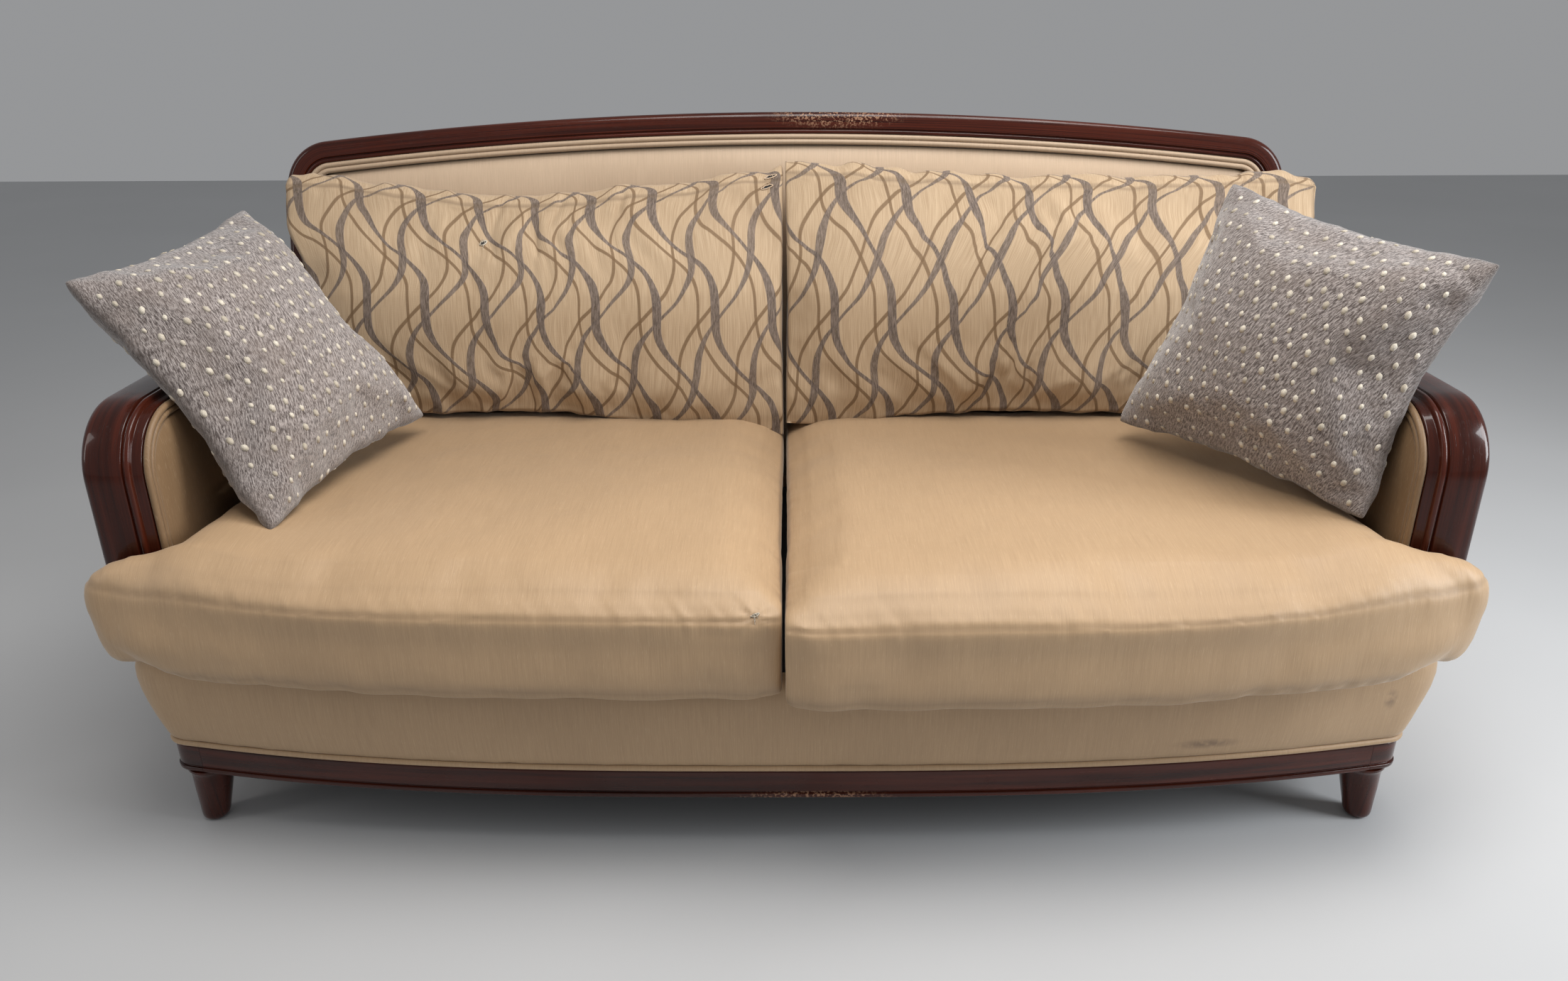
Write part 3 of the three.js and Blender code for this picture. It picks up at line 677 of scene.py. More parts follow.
def stored(mesh: bpy.types.Mesh, name: str) -> np.ndarray:
    """Reads back the numbers stored under a name."""
    out = np.zeros(len(mesh.vertices), np.float32)
    mesh.attributes[name].data.foreach_get("value", out)
    return out.astype(float)


def push(piece: bpy.types.Object, move: np.ndarray) -> None:
    """Moves each point of a piece along its normal."""
    set_positions(piece.data, positions(piece.data) + normals(piece.data) * move[:, None])


def no_seam_shade(piece: bpy.types.Object) -> None:
    """Stores that a piece has no painted seam shade."""
    store(piece.data, "seam", np.zeros(len(piece.data.vertices)))


def hump(offset: np.ndarray, width: float) -> np.ndarray:
    """Bell-shaped weight, 1 where offset is 0."""
    return np.exp(-((offset / width) ** 2))


def evened(mesh: bpy.types.Mesh, values: np.ndarray, rounds: int) -> np.ndarray:
    """Spreads values over a mesh, each round halfway to the mean of the neighbours."""
    edges = np.zeros(len(mesh.edges) * 2, np.int32)
    mesh.edges.foreach_get("vertices", edges)
    first, second = edges.reshape(-1, 2).T
    count = np.maximum(np.bincount(edges, minlength=len(values)), 1)[:, None]
    for _ in range(rounds):
        total = np.zeros_like(values)
        np.add.at(total, first, values[second])
        np.add.at(total, second, values[first])
        values = (values + total / count) / 2.0
    return values


def surface(piece: bpy.types.Object) -> BVHTree:
    """Search tree over the faces of a piece."""
    faces = [tuple(face.vertices) for face in piece.data.polygons]
    return BVHTree.FromPolygons([tuple(p) for p in positions(piece.data)], faces)


def refitted(points: np.ndarray, lowest: Sequence[float], highest: Sequence[float]) -> np.ndarray:
    """Stretches points so that their box runs from lowest to highest."""
    start, end = points.min(axis=0), points.max(axis=0)
    share = (points - start) / (end - start)
    return np.array(lowest) + share * (np.array(highest) - np.array(lowest))


def bake_modifiers(piece: bpy.types.Object) -> None:
    """Turns a piece and its modifiers into a plain mesh."""
    graph = bpy.context.evaluated_depsgraph_get()
    seen = piece.evaluated_get(graph)
    plain = bpy.data.meshes.new_from_object(seen, preserve_all_data_layers=True, depsgraph=graph)
    piece.modifiers.clear()
    piece.data = plain


def soften_edges(piece: bpy.types.Object, width: float, angle: float = 40.0) -> None:
    """Rounds the sharp edges of a piece and keeps its flats flat."""
    bevel = piece.modifiers.new("edges", "BEVEL")
    bevel.width = width
    bevel.segments = 2
    bevel.limit_method = "ANGLE"
    bevel.angle_limit = math.radians(angle)
    bake_modifiers(piece)
    piece.data.shade_smooth()
    piece.data.set_sharp_from_angle(angle=math.radians(angle))


def subdivide(piece: bpy.types.Object) -> None:
    """Smooths a piece by one subdivision."""
    smooth = piece.modifiers.new("smooth", "SUBSURF")
    smooth.levels = smooth.render_levels = 1
    bake_modifiers(piece)
    piece.data.shade_smooth()


def rings_to_mesh(rings: Sequence[np.ndarray]) -> tuple[np.ndarray, list[list[int]]]:
    """Skins a stack of closed rings with the same number of points, and caps both ends.

    Args:
        rings: Arrays of points, one for each ring.

    Returns:
        The points and the faces.
    """
    count = len(rings[0])
    faces: list[list[int]] = []
    for level in range(len(rings) - 1):
        low = level * count
        for k in range(count):
            after = (k + 1) % count
            faces.append([low + k, low + after, low + count + after, low + count + k])
    faces.append(list(range(count))[::-1])
    faces.append([(len(rings) - 1) * count + k for k in range(count)])
    return np.vstack(rings), faces


class Slab:
    """Closed grid over the six sides of a block; points are shared where the sides meet."""

    def __init__(self, across: int, deep: int, tall: int) -> None:
        """Makes the grid.

        Args:
            across: Cells along x.
            deep: Cells along y; the front is at the low end.
            tall: Cells along z.
        """
        self.counts = (across, deep, tall)
        self.numbers: dict[tuple[int, int, int], int] = {}
        self.faces: list[list[int]] = []
        self.sides: list[tuple[int, int]] = []
        for axis in range(3):
            for end in (0, self.counts[axis]):
                self._add_side(axis, end)
        lattice = np.array(list(self.numbers), float)
        self.lattice = lattice / np.array(self.counts, float) * 2.0 - 1.0

    def _number(self, cell: tuple[int, int, int]) -> int:
        """The number of the point at a lattice place."""
        return self.numbers.setdefault(cell, len(self.numbers))

    def _add_side(self, axis: int, end: int) -> None:
        """Adds the quads of one side, facing outwards."""
        first, second = (axis + 1) % 3, (axis + 2) % 3
        for p in range(self.counts[first]):
            for q in range(self.counts[second]):
                quad = []
                for dp, dq in ((0, 0), (1, 0), (1, 1), (0, 1)):
                    cell = [0, 0, 0]
                    cell[axis], cell[first], cell[second] = end, p + dp, q + dq
                    quad.append(self._number((cell[0], cell[1], cell[2])))
                self.faces.append(quad if end else quad[::-1])
                self.sides.append((axis, 1 if end else -1))

    def cloth_map(self, mesh: bpy.types.Mesh, size: Point3) -> None:
        """Gives a mesh made of this grid a UV map in metres that runs on round its edges.

        Args:
            mesh: The mesh, with faces in this grid's order.
            size: Width, depth and height of the block.
        """
        layer = mesh.uv_layers.new(name="cloth")
        half = np.array(size) / 2.0
        for polygon, (axis, sign) in zip(mesh.polygons, self.sides):
            for loop in polygon.loop_indices:
                x, y, z = self.lattice[mesh.loops[loop].vertex_index] * half
                depth = y + half[1]
                if axis == 0:
                    place = (sign * (half[0] + depth), z)
                elif axis == 2:
                    place = (x, sign * (half[2] + depth))
                elif sign < 0:
                    place = (x, z)
                else:
                    place = (2.0 * (size[0] + size[1]) - x, z)
                layer.data[loop].uv = place


# ---- Geometry node trees ----


class TreeInput(Enum):
    """Socket types of a tree's named inputs."""

    OBJECT = "NodeSocketObject"
    VECTOR = "NodeSocketVector"
    MATERIAL = "NodeSocketMaterial"
    FLOAT = "NodeSocketFloat"
    SEED = "NodeSocketInt"
    GEOMETRY = "NodeSocketGeometry"


class ShapeTree:
    """A geometry node tree with named inputs that is run once and baked to a plain mesh."""

    def __init__(self, name: str, inputs: dict[str, TreeInput]) -> None:
        """Makes the tree's interface.

        Args:
            name: The tree's name.
            inputs: The type of each named input.
        """
        self.tree = bpy.data.node_groups.new(name, "GeometryNodeTree")
        face = self.tree.interface
        for label, kind in {"Base": TreeInput.GEOMETRY, **inputs}.items():
            face.new_socket(label, in_out="INPUT", socket_type=kind.value)
        face.new_socket("Result", in_out="OUTPUT", socket_type="NodeSocketGeometry")
        self.kit = NodeKit(self.tree)
        entry = self.tree.nodes.new("NodeGroupInput")
        sockets = [socket for socket in entry.outputs if socket.name]
        self.inputs = {socket.name: Value(self.kit, socket) for socket in sockets}

    def close(self, result: Value) -> None:
        """Ends the tree: real geometry with its finish."""
        real = self.kit.add("GeometryNodeRealizeInstances", None, {0: result})
        painted = {"Geometry": real, "Material": self.inputs["Finish"]}
        done = self.kit.add("GeometryNodeSetMaterial", None, painted)
        self.kit.add("NodeGroupOutput", None, {0: done})

    def run(self, name: str, base: bpy.types.Mesh, values: dict[str, Any]) -> bpy.types.Object:
        """Runs the tree on a mesh.

        Args:
            name: The name of the piece to make.
            base: The mesh the tree starts from.
            values: A value for each named input.

        Returns:
            The finished piece, with a plain mesh.
        """
        piece = bpy.data.objects.new(name, base)
        bpy.context.scene.collection.objects.link(piece)
        modifier = piece.modifiers.new("shape", "NODES")
        modifier.node_group = self.tree
        for item in self.tree.interface.items_tree:
            if item.in_out == "INPUT" and item.name in values:
                modifier[item.identifier] = values[item.name]
        bake_modifiers(piece)
        return piece


def sweep_tree() -> ShapeTree:
    """A section carried along a path, with the lengths along and across stored for the grain."""
    shape = ShapeTree(
        "section_along_path",
        {
            "Path": TreeInput.OBJECT,
            "Section": TreeInput.OBJECT,
            "Facing": TreeInput.VECTOR,
            "Finish": TreeInput.MATERIAL,
        },
    )
    kit = shape.kit

    def measured(label: str, attribute: str) -> Value:
        """The curve of an object, with its length stored."""
        curve = kit.add("GeometryNodeObjectInfo", None, {"Object": shape.inputs[label]}, "Geometry")
        length = kit.add("GeometryNodeSplineParameter", None, None, "Length")
        inputs = {"Geometry": curve, "Name": attribute, "Value": length}
        settings = {"data_type": "FLOAT", "domain": "POINT"}
        return kit.add("GeometryNodeStoreNamedAttribute", settings, inputs)

    turned = kit.add(
        "GeometryNodeSetCurveNormal",
        {"mode": "FREE"},
        {"Curve": measured("Path", "along"), "Normal": shape.inputs["Facing"]},
    )
    section = measured("Section", "across")
    inputs = {"Curve": turned, "Profile Curve": section, "Fill Caps": True}
    shape.close(kit.add("GeometryNodeCurveToMesh", None, inputs))
    return shape


def scatter_tree() -> ShapeTree:
    """Small shapes on points, turned to stored directions, with a seeded change of size."""
    shape = ShapeTree(
        "shapes_on_points",
        {
            "Shape": TreeInput.OBJECT,
            "Least": TreeInput.FLOAT,
            "Most": TreeInput.FLOAT,
            "Seed": TreeInput.SEED,
            "Finish": TreeInput.MATERIAL,
        },
    )
    kit = shape.kit
    item = kit.add(
        "GeometryNodeObjectInfo", None, {"Object": shape.inputs["Shape"]}, "Geometry"
    )
    vector = {"data_type": "FLOAT_VECTOR"}
    lie = kit.add("GeometryNodeInputNamedAttribute", vector, {"Name": "lie"})
    way = kit.add("GeometryNodeInputNamedAttribute", vector, {"Name": "way"})
    turn = kit.add(
        "FunctionNodeAxesToRotation",
        {"primary_axis": "Z", "secondary_axis": "X"},
        {0: lie, 1: way},
    )
    random_size = {2: shape.inputs["Least"], 3: shape.inputs["Most"], 8: shape.inputs["Seed"]}
    size = kit.add("FunctionNodeRandomValue", {"data_type": "FLOAT"}, random_size, 1)
    inputs = {
        "Points": shape.inputs["Base"],
        "Instance": item,
        "Rotation": turn,
        "Scale": kit.vector(size, size, size),
    }
    shape.close(kit.add("GeometryNodeInstanceOnPoints", None, inputs))
    return shape


def line_object(name: str, points: Sequence[Sequence[float]], closed: bool) -> bpy.types.Object:
    """A curve of straight steps through points."""
    curve = bpy.data.curves.new(name, "CURVE")
    curve.dimensions = "3D"
    spline = curve.splines.new("POLY")
    spline.points.add(len(points) - 1)
    for point, place in zip(spline.points, points):
        padded = (*place, 0.0, 0.0)[:3]
        point.co = (*padded, 1.0)
    spline.use_cyclic_u = closed
    made = bpy.data.objects.new(name, curve)
    bpy.context.scene.collection.objects.link(made)
    return made


class Workshop:
    """Runs the two geometry node trees."""

    def __init__(self) -> None:
        """Builds the trees."""
        self.sweeps = sweep_tree()
        self.scatters = scatter_tree()

    def moulding(
        self,
        name: str,
        path: Sequence[Sequence[float]],
        section: Sequence[Point2],
        facing: Point3,
        finish: Finish,
        closed: bool = False,
    ) -> bpy.types.Object:
        """Carries a section along a path.

        Args:
            name: The piece's name.
            path: Points of the path.
            section: Closed outline; its first number goes along facing.
            facing: A direction square to the whole path.
            finish: Its surface finish.
            closed: True if the path is a loop.

        Returns:
            The piece.
        """
        turned = [(facing_way, -inward) for facing_way, inward in section]
        helpers = [line_object("path", path, closed), line_object("section", turned, True)]
        values = {
            "Path": helpers[0],
            "Section": helpers[1],
            "Facing": Vector(facing),
            "Finish": finish.material(),
        }
        piece = self.sweeps.run(name, bpy.data.meshes.new(name), values)
        for helper in helpers:
            bpy.data.objects.remove(helper)
        turn_outwards(piece, 1e-6)
        piece.data.shade_smooth()
        piece.data.set_sharp_from_angle(angle=math.radians(42.0))
        return piece

    def cord(
        self,
        name: str,
        path: Sequence[Sequence[float]],
        radius: float,
        facing: Point3,
        finish: Finish,
    ) -> bpy.types.Object:
        """A round welt along a path."""
        sides = 14
        turns = [2.0 * math.pi * k / sides for k in range(sides)]
        section = [(radius * math.cos(a), radius * math.sin(a)) for a in turns]
        return self.moulding(name, path, section, facing, finish)

    def scatter(
        self,
        name: str,
        places: np.ndarray,
        lies: np.ndarray,
        ways: np.ndarray,
        shape: bpy.types.Object,
        sizes: Point2,
        finish: Finish,
        seed: int = 7,
    ) -> bpy.types.Object:
        """Puts a small shape on each place.

        Args:
            name: The piece's name.
            places: Points to put it on.
            lies: Direction of the shape's z at each point.
            ways: Direction of the shape's x at each point.
            shape: The small shape; it is used up.
            sizes: Least and most scale.
            finish: Its surface finish.
            seed: Seed of the change of size.

        Returns:
            One piece that holds all the shapes.
        """
        base = bpy.data.meshes.new(name)
        base.from_pydata([tuple(p) for p in places], [], [])
        for label, vectors in (("lie", lies), ("way", ways)):
            layer = base.attributes.new(label, "FLOAT_VECTOR", "POINT")
            layer.data.foreach_set("vector", np.asarray(vectors, np.float32).ravel())
        values = {
            "Shape": shape,
            "Least": sizes[0],
            "Most": sizes[1],
            "Seed": seed,
            "Finish": finish.material(),
        }
        piece = self.scatters.run(name, base, values)
        bpy.data.objects.remove(shape)
        piece.data.shade_smooth()
        return piece


# ---- Cloth ----


@dataclass(frozen=True)
class Stuffing:
    """How a cover swells over its filling."""

    pressure: float
    cap: float
    frames: int = 20
    stiffness: float = 14.0
    seam_shrink: float = 0.0
    calm: int = 0

    def swell(self, piece: bpy.types.Object, seam: np.ndarray | None = None) -> None:
        """Inflates a cover and bakes the result.

        Args:
            piece: A closed mesh.
            seam: Weight of each point on a gathered seam, from 0 to 1.
        """
        rest = positions(piece.data)
        if seam is not None:
            group = piece.vertex_groups.new(name="gathers")
            for weight in np.unique(np.round(seam, 1)):
                chosen = np.nonzero(np.round(seam, 1) == weight)[0]
                group.add([int(k) for k in chosen], float(weight), "REPLACE")
        cloth = piece.modifiers.new("cover", "CLOTH")
        settings = cloth.settings
        settings.quality = 4
        settings.mass = 0.3
        settings.use_pressure = True
        settings.uniform_pressure_force = self.pressure
        settings.tension_stiffness = settings.compression_stiffness = self.stiffness
        settings.shear_stiffness = self.stiffness * 0.4
        settings.bending_stiffness = 0.4
        settings.effector_weights.gravity = 0.0
        cloth.collision_settings.use_collision = False
        if seam is not None:
            settings.vertex_group_shrink = "gathers"
            settings.shrink_min = 0.0
            settings.shrink_max = self.seam_shrink
        cloth.point_cache.frame_start = 1
        cloth.point_cache.frame_end = self.frames
        scene = bpy.context.scene
        for number in range(1, self.frames + 1):
            scene.frame_set(number)
        seen = piece.evaluated_get(bpy.context.evaluated_depsgraph_get())
        moved = positions(seen.data) - rest
        piece.modifiers.clear()
        piece.vertex_groups.clear()
        scene.frame_set(1)
        reach = np.maximum(np.linalg.norm(moved, axis=1, keepdims=True), 1e-9)
        moved = moved * (self.cap * np.tanh(reach / self.cap) / reach)
        set_positions(piece.data, rest + evened(piece.data, moved, self.calm))


# ---- Layout ----


def low(node: str) -> Vector:
    """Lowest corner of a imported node."""
    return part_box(node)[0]


def high(node: str) -> Vector:
    """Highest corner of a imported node."""
    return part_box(node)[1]


def rounded(corners: Sequence[Point3], steps: int = 4, scale: float = MM) -> list[Point2]:
    """Closed outline with round corners.

    Args:
        corners: The place and the radius of each corner.
        steps: Straight steps in each corner.
        scale: Metres per unit of the numbers.

    Returns:
        The outline in metres.
    """
    outline: list[Point2] = []
    for k, (x, y, radius) in enumerate(corners):
        here = Vector((x, y))
        back = (Vector(corners[k - 1][:2]) - here).normalized()
        ahead = (Vector(corners[(k + 1) % len(corners)][:2]) - here).normalized()
        half = back.angle(ahead) / 2.0
        if radius <= 0.0 or half > 1.55:
            outline.append((x * scale, y * scale))
            continue
        centre = here + (back + ahead).normalized() * (radius / math.sin(half))
        arms = [here + way * (radius / math.tan(half)) - centre for way in (back, ahead)]
        first, last = (math.atan2(arm.y, arm.x) for arm in arms)
        turn = (last - first + math.pi) % (2.0 * math.pi) - math.pi
        for j in range(steps + 1):
            angle = first + turn * j / steps
            place = centre + Vector((math.cos(angle), math.sin(angle))) * radius
            outline.append((place.x * scale, place.y * scale))
    return outline


def relaxed(line: Sequence[Point2], rounds: int) -> list[Point2]:
    """Evens out the corners of an open line and keeps its ends."""
    points = np.array(line, float)
    for _ in range(rounds):
        points[1:-1] = (points[:-2] + 2.0 * points[1:-1] + points[2:]) / 4.0
    return [tuple(p) for p in points]


@dataclass(frozen=True)
class Layout:
    """The frame's main lines in metres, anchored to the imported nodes."""

    rake: float = math.radians(9.0)
    base_half: float = high("plinth_right").x
    base_front: float = low("plinth_front").y
    base_back: float = high("plinth_right").y
    corner_radius: float = 0.034
    bow_depth: float = 0.073
    bow_power: float = 2.8
    arm_outer: float = high("arm_band_right").x
    arm_inner: float = low("arm_band_right").x
    arm_front: float = low("arm_band_right").y
    arm_floor: float = low("arm_band_right").z
    arm_top: float = high("arm_band_right").z
    arm_radius: float = 0.095
    post_half: float = 0.025
    crest_corner: float = 0.088
    crest_arch: float = 7.9
    crest_top: float = high("crest_rail").z
    lean_base: float = 0.148
    panel_foot: float = 0.158
    taper: float = 0.028

    @property
    def lean_foot(self) -> float:
        """Depth of the middle of a back post at the foot of the lean."""
        front = low("back_post_left").y
        up = self.panel_foot * math.sin(self.rake)
        return front - up + self.post_half * math.cos(self.rake)

    @property
    def crest_s(self) -> float:
        """Length up the lean to the outer line of the crest at mid width."""
        rise = self.crest_top - self.lean_base - self.post_half * math.sin(self.rake)
        return rise / math.cos(self.rake)

    def bow(self, x: float) -> float:
        """Depth of the base's front line at a place across."""
        return self.base_front + self.bow_depth * abs(x / self.base_half) ** self.bow_power

    def lean(self, x: float, s: float, t: float) -> Point3:
        """Point in the leaning back frame.

        Args:
            x: Place across.
            s: Length up the lean.
            t: Distance behind the middle of the posts.

        Returns:
            The point in the row frame.
        """
        sine, cosine = math.sin(self.rake), math.cos(self.rake)
        drawn = x * (1.0 - self.taper * float(ease(s, 0.40, 0.74)))
        return drawn, self.lean_foot + s * sine + t * cosine, self.lean_base + s * cosine - t * sine

    def lean_normal(self) -> Point3:
        """Direction to the rear, square to the leaning back."""
        return 0.0, math.cos(self.rake), -math.sin(self.rake)

    def front_line(self, offset: float, back: float) -> list[Point2]:
        """Plan of the base's outer line, from the left back round the front to the right back.

        Args:
            offset: Distance outwards.
            back: Depth of both ends.

        Returns:
            Points of the line.
        """
        half = self.base_half + offset
        radius = self.corner_radius + offset
        middle = self.base_half - self.corner_radius
        centre = self.bow(middle) + self.corner_radius
        line = [(-half, back + (centre - back) * k / 40) for k in range(40)]
        for k in range(12):
            angle = k / 12 * math.pi / 2.0
            line.append((-middle - radius * math.cos(angle), centre - radius * math.sin(angle)))
        for k in range(45):
            x = -middle * (1.0 - k / 45)
            line.append((x, self.bow(x) - offset))
        whole = line + [(0.0, self.bow(0.0) - offset)] + [(-x, y) for x, y in reversed(line)]
        return relaxed(whole, 6)

    def hoop(self, inset: float, rear_gap: float = 0.001) -> list[Point2]:
        """Side line (depth, height) of an arm's hoop, from the base up the front and to the back.

        Args:
            inset: Distance in from the outer line.
            rear_gap: Gap to the back post.

        Returns:
            Points of the line.
        """
        radius = self.arm_radius - inset
        front, top = self.arm_front + inset, self.arm_top - inset
        centre = (self.arm_front + self.arm_radius, self.arm_top - self.arm_radius)
        rear = self.rear_of_arm(top) - rear_gap
        line = [(front, self.arm_floor + (centre[1] - self.arm_floor) * k / 16) for k in range(16)]
        for k in range(21):
            angle = math.pi - k / 20 * math.pi / 2.0
            across, up = radius * math.cos(angle), radius * math.sin(angle)
            line.append((centre[0] + across, centre[1] + up))
        start = line[-1][0]
        line += [(start + (rear - start) * k / 30, top) for k in range(1, 31)]
        return line

    def rear_of_arm(self, z: float) -> float:
        """Depth of the front of a back post at a height."""
        rise = (z - self.lean_base) * math.tan(self.rake)
        return self.lean_foot - self.post_half / math.cos(self.rake) + rise

    def arch(self, inset: float, foot: float) -> list[Point2]:
        """Outline (across, up the lean) of the back's posts and crest, left to right.

        Args:
            inset: Distance in from the outer line.
            foot: Length up the lean of both ends.

        Returns:
            Points of the line.
        """
        middle = self.crest_s - self.crest_arch
        across = self.arm_outer - self.crest_corner
        up = middle + math.sqrt((self.crest_arch - self.crest_corner) ** 2 - across**2)
        lean_angle = math.atan2(up - middle, -across)
        radius = self.crest_corner - inset
        line = [(-across - radius, foot + (up - foot) * k / 40) for k in range(40)]
        for k in range(21):
            angle = math.pi + (lean_angle - math.pi) * k / 20
            line.append((-across + radius * math.cos(angle), up + radius * math.sin(angle)))
        for k in range(1, 40):
            angle = lean_angle + (math.pi / 2.0 - lean_angle) * k / 40
            reach = self.crest_arch - inset
            line.append((reach * math.cos(angle), middle + reach * math.sin(angle)))
        return line + [(0.0, self.crest_s - inset)] + [(-x, s) for x, s in reversed(line)]


LAYOUT = Layout()


class Slot(Enum):
    """The record's material slots."""

    MAHOGANY = "mahogany"
    BEECH = "beech"
    PLYWOOD = "plywood"
    TAN = "tan_cloth"
    WAVY = "wavy_cloth"
    PILLOW = "pillow_cloth"
    LINING = "lining"
    WEBBING = "webbing"


def settle(piece: bpy.types.Object, slot: Slot, *nodes: str, fill: float | None = None) -> None:
    """Hands a finished piece to the frame.

    Args:
        piece: The piece.
        slot: The slot meant for its finish; not used.
        nodes: The CAD nodes that it stands for.
        fill: How tightly it is padded, if it is; not used.
    """
    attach(piece, ROOT)
    if nodes:
        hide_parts(*nodes)
    LOG.info("%s: %d points", piece.name, len(piece.data.vertices))


def dress(nodes: Iterable[str], finish: Finish) -> None:
    """Gives carried-over CAD nodes a finish."""
    for node in nodes:
        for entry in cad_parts[node].material_slots:
            entry.material = finish.material()


def grain(piece: bpy.types.Object, axis: int) -> None:
    """Stores grain lengths on a piece whose grain runs along one axis."""
    points = positions(piece.data)
    others = [k for k in range(3) if k != axis]
    store(piece.data, "along", points[:, axis])
    store(piece.data, "across", points[:, others[0]] + points[:, others[1]])


def board(
    name: str, lowest: Sequence[float], highest: Sequence[float], finish: Finish
) -> bpy.types.Object:
    """A straight board with eased edges."""
    slab = Slab(2, 2, 2)
    middle = (np.array(lowest) + np.array(highest)) / 2.0
    half = (np.array(highest) - np.array(lowest)) / 2.0
    piece = new_piece(name, slab.lattice * half + middle, slab.faces, finish)
    soften_edges(piece, 0.0015)
    grain(piece, 0)
    return piece


def edge_distance(points: np.ndarray, outline: np.ndarray) -> np.ndarray:
    """Distance of flat points to a closed outline."""
    best = np.full(len(points), np.inf)
    for start, end in zip(outline, np.roll(outline, -1, axis=0)):
        way = end - start
        share = np.clip(((points - start) @ way) / max(float(way @ way), 1e-12), 0.0, 1.0)
        best = np.minimum(best, np.linalg.norm(points - start - share[:, None] * way, axis=1))
    return best


def pressed(values: np.ndarray, limit: float, softness: float = 0.002) -> np.ndarray:
    """Keeps values below a limit, with a soft bend near it."""
    far = 40.0
    room = np.clip((limit - values) / softness, -far, far)
    bent = limit - softness * np.log1p(np.exp(room))
    return np.where(limit - values > far * softness, values, bent)


@dataclass(frozen=True)
class StuffedPanel:
    """A thin pad on a board: flat at the rear, domed in front, with its rim turned in."""

    name: str
    finish: Finish
    floor: float
    outline: Callable[[float], float]
    ends: Point2
    place: Callable[[float, float, float], Point3]
    thickness: float
    swell: float
    counts: tuple[int, int]
    ripple: float = 0.0006

    def build(self) -> bpy.types.Object:
        """Makes the panel.

        Returns:
            The panel, closed and facing outwards.
        """
        slab = Slab(self.counts[0], 1, self.counts[1])
        first, last = self.ends
        shares = (1.0 - np.cos((slab.lattice[:, 0] + 1.0) * math.pi / 2.0)) / 2.0
        shares = shares * 0.6 + (slab.lattice[:, 0] + 1.0) / 2.0 * 0.4
        a = first + (last - first) * shares
        tops = np.array([self.outline(value) for value in a])
        v = (slab.lattice[:, 2] + 1.0) / 2.0
        v = v * 0.6 + (1.0 - np.cos(v * math.pi)) / 2.0 * 0.4
        b = self.floor + (tops - self.floor) * v
        rim_a = np.linspace(first, last, 120)
        rim = [(value, self.outline(value)) for value in rim_a]
        rim += [(last, self.floor), (first, self.floor)]
        flat = np.stack([a, b], axis=1)
        inside = edge_distance(flat, np.array(rim))
        dome = 1.0 - np.exp(-inside / 0.022)
        height = self.thickness + self.swell * dome
        height = height + self.ripple * fractal(np.stack([a, b, a * 0.0], axis=1), 14.0, 3.0) * dome
        height = np.where(slab.lattice[:, 1] > 0.0, 0.0, height)
        points = np.array([self.place(*values) for values in zip(a, b, height)])
        piece = new_piece(self.name, points, slab.faces, self.finish)
        turn_outwards(piece, 1e-6)
        no_seam_shade(piece)
        subdivide(piece)
        return piece


# ---- Sub-assemblies ----

# A pale speckled patch at the middle of the crest rail.
CREST_PALE_PATCH = Patch((0.10, 0.46, 0.972), (0.15, 0.06, 0.03))
PLINTH_WEAR = Patch((0.045, -0.388, 0.104), (0.13, 0.05, 0.012))
POLISH = Mahogany(name="mahogany_polish")
POLISH_PATCHED = Mahogany(name="mahogany_patched", pale_patches=(CREST_PALE_PATCH, PLINTH_WEAR))
APRON_SMUDGES = (
    Patch((0.868, -0.33, 0.235), (0.014, 0.05, 0.022)),
    Patch((0.600, -0.37, 0.185), (0.060, 0.08, 0.012)),
)
SATIN_BASE = StreakedSatin(
    name="tan_satin_base", threads=Threads.ACROSS_SWEEP, smudges=APRON_SMUDGES
)
SATIN_SEAT = StreakedSatin(name="tan_satin_seat")
SATIN_PANEL = StreakedSatin(
    name="tan_satin_panel", light=(0.62, 0.47, 0.33), dark=(0.47, 0.345, 0.235)
)
# Painted shade: a darker copy of the tan satin for the arm panels and arm welts, standing for the
# shade between the arms and the seat.
SATIN_SIDE_PAINTED_SHADE = StreakedSatin(
    name="tan_satin_side_painted_shade",
    threads=Threads.ACROSS_Y,
    light=(0.26, 0.162, 0.083),
    dark=(0.185, 0.110, 0.055),
)
LINING = BlackLining()
BEECH = BareTimber()
PLYWOOD = BareTimber(name="plywood", light=(0.56, 0.40, 0.24), dark=(0.42, 0.28, 0.15))


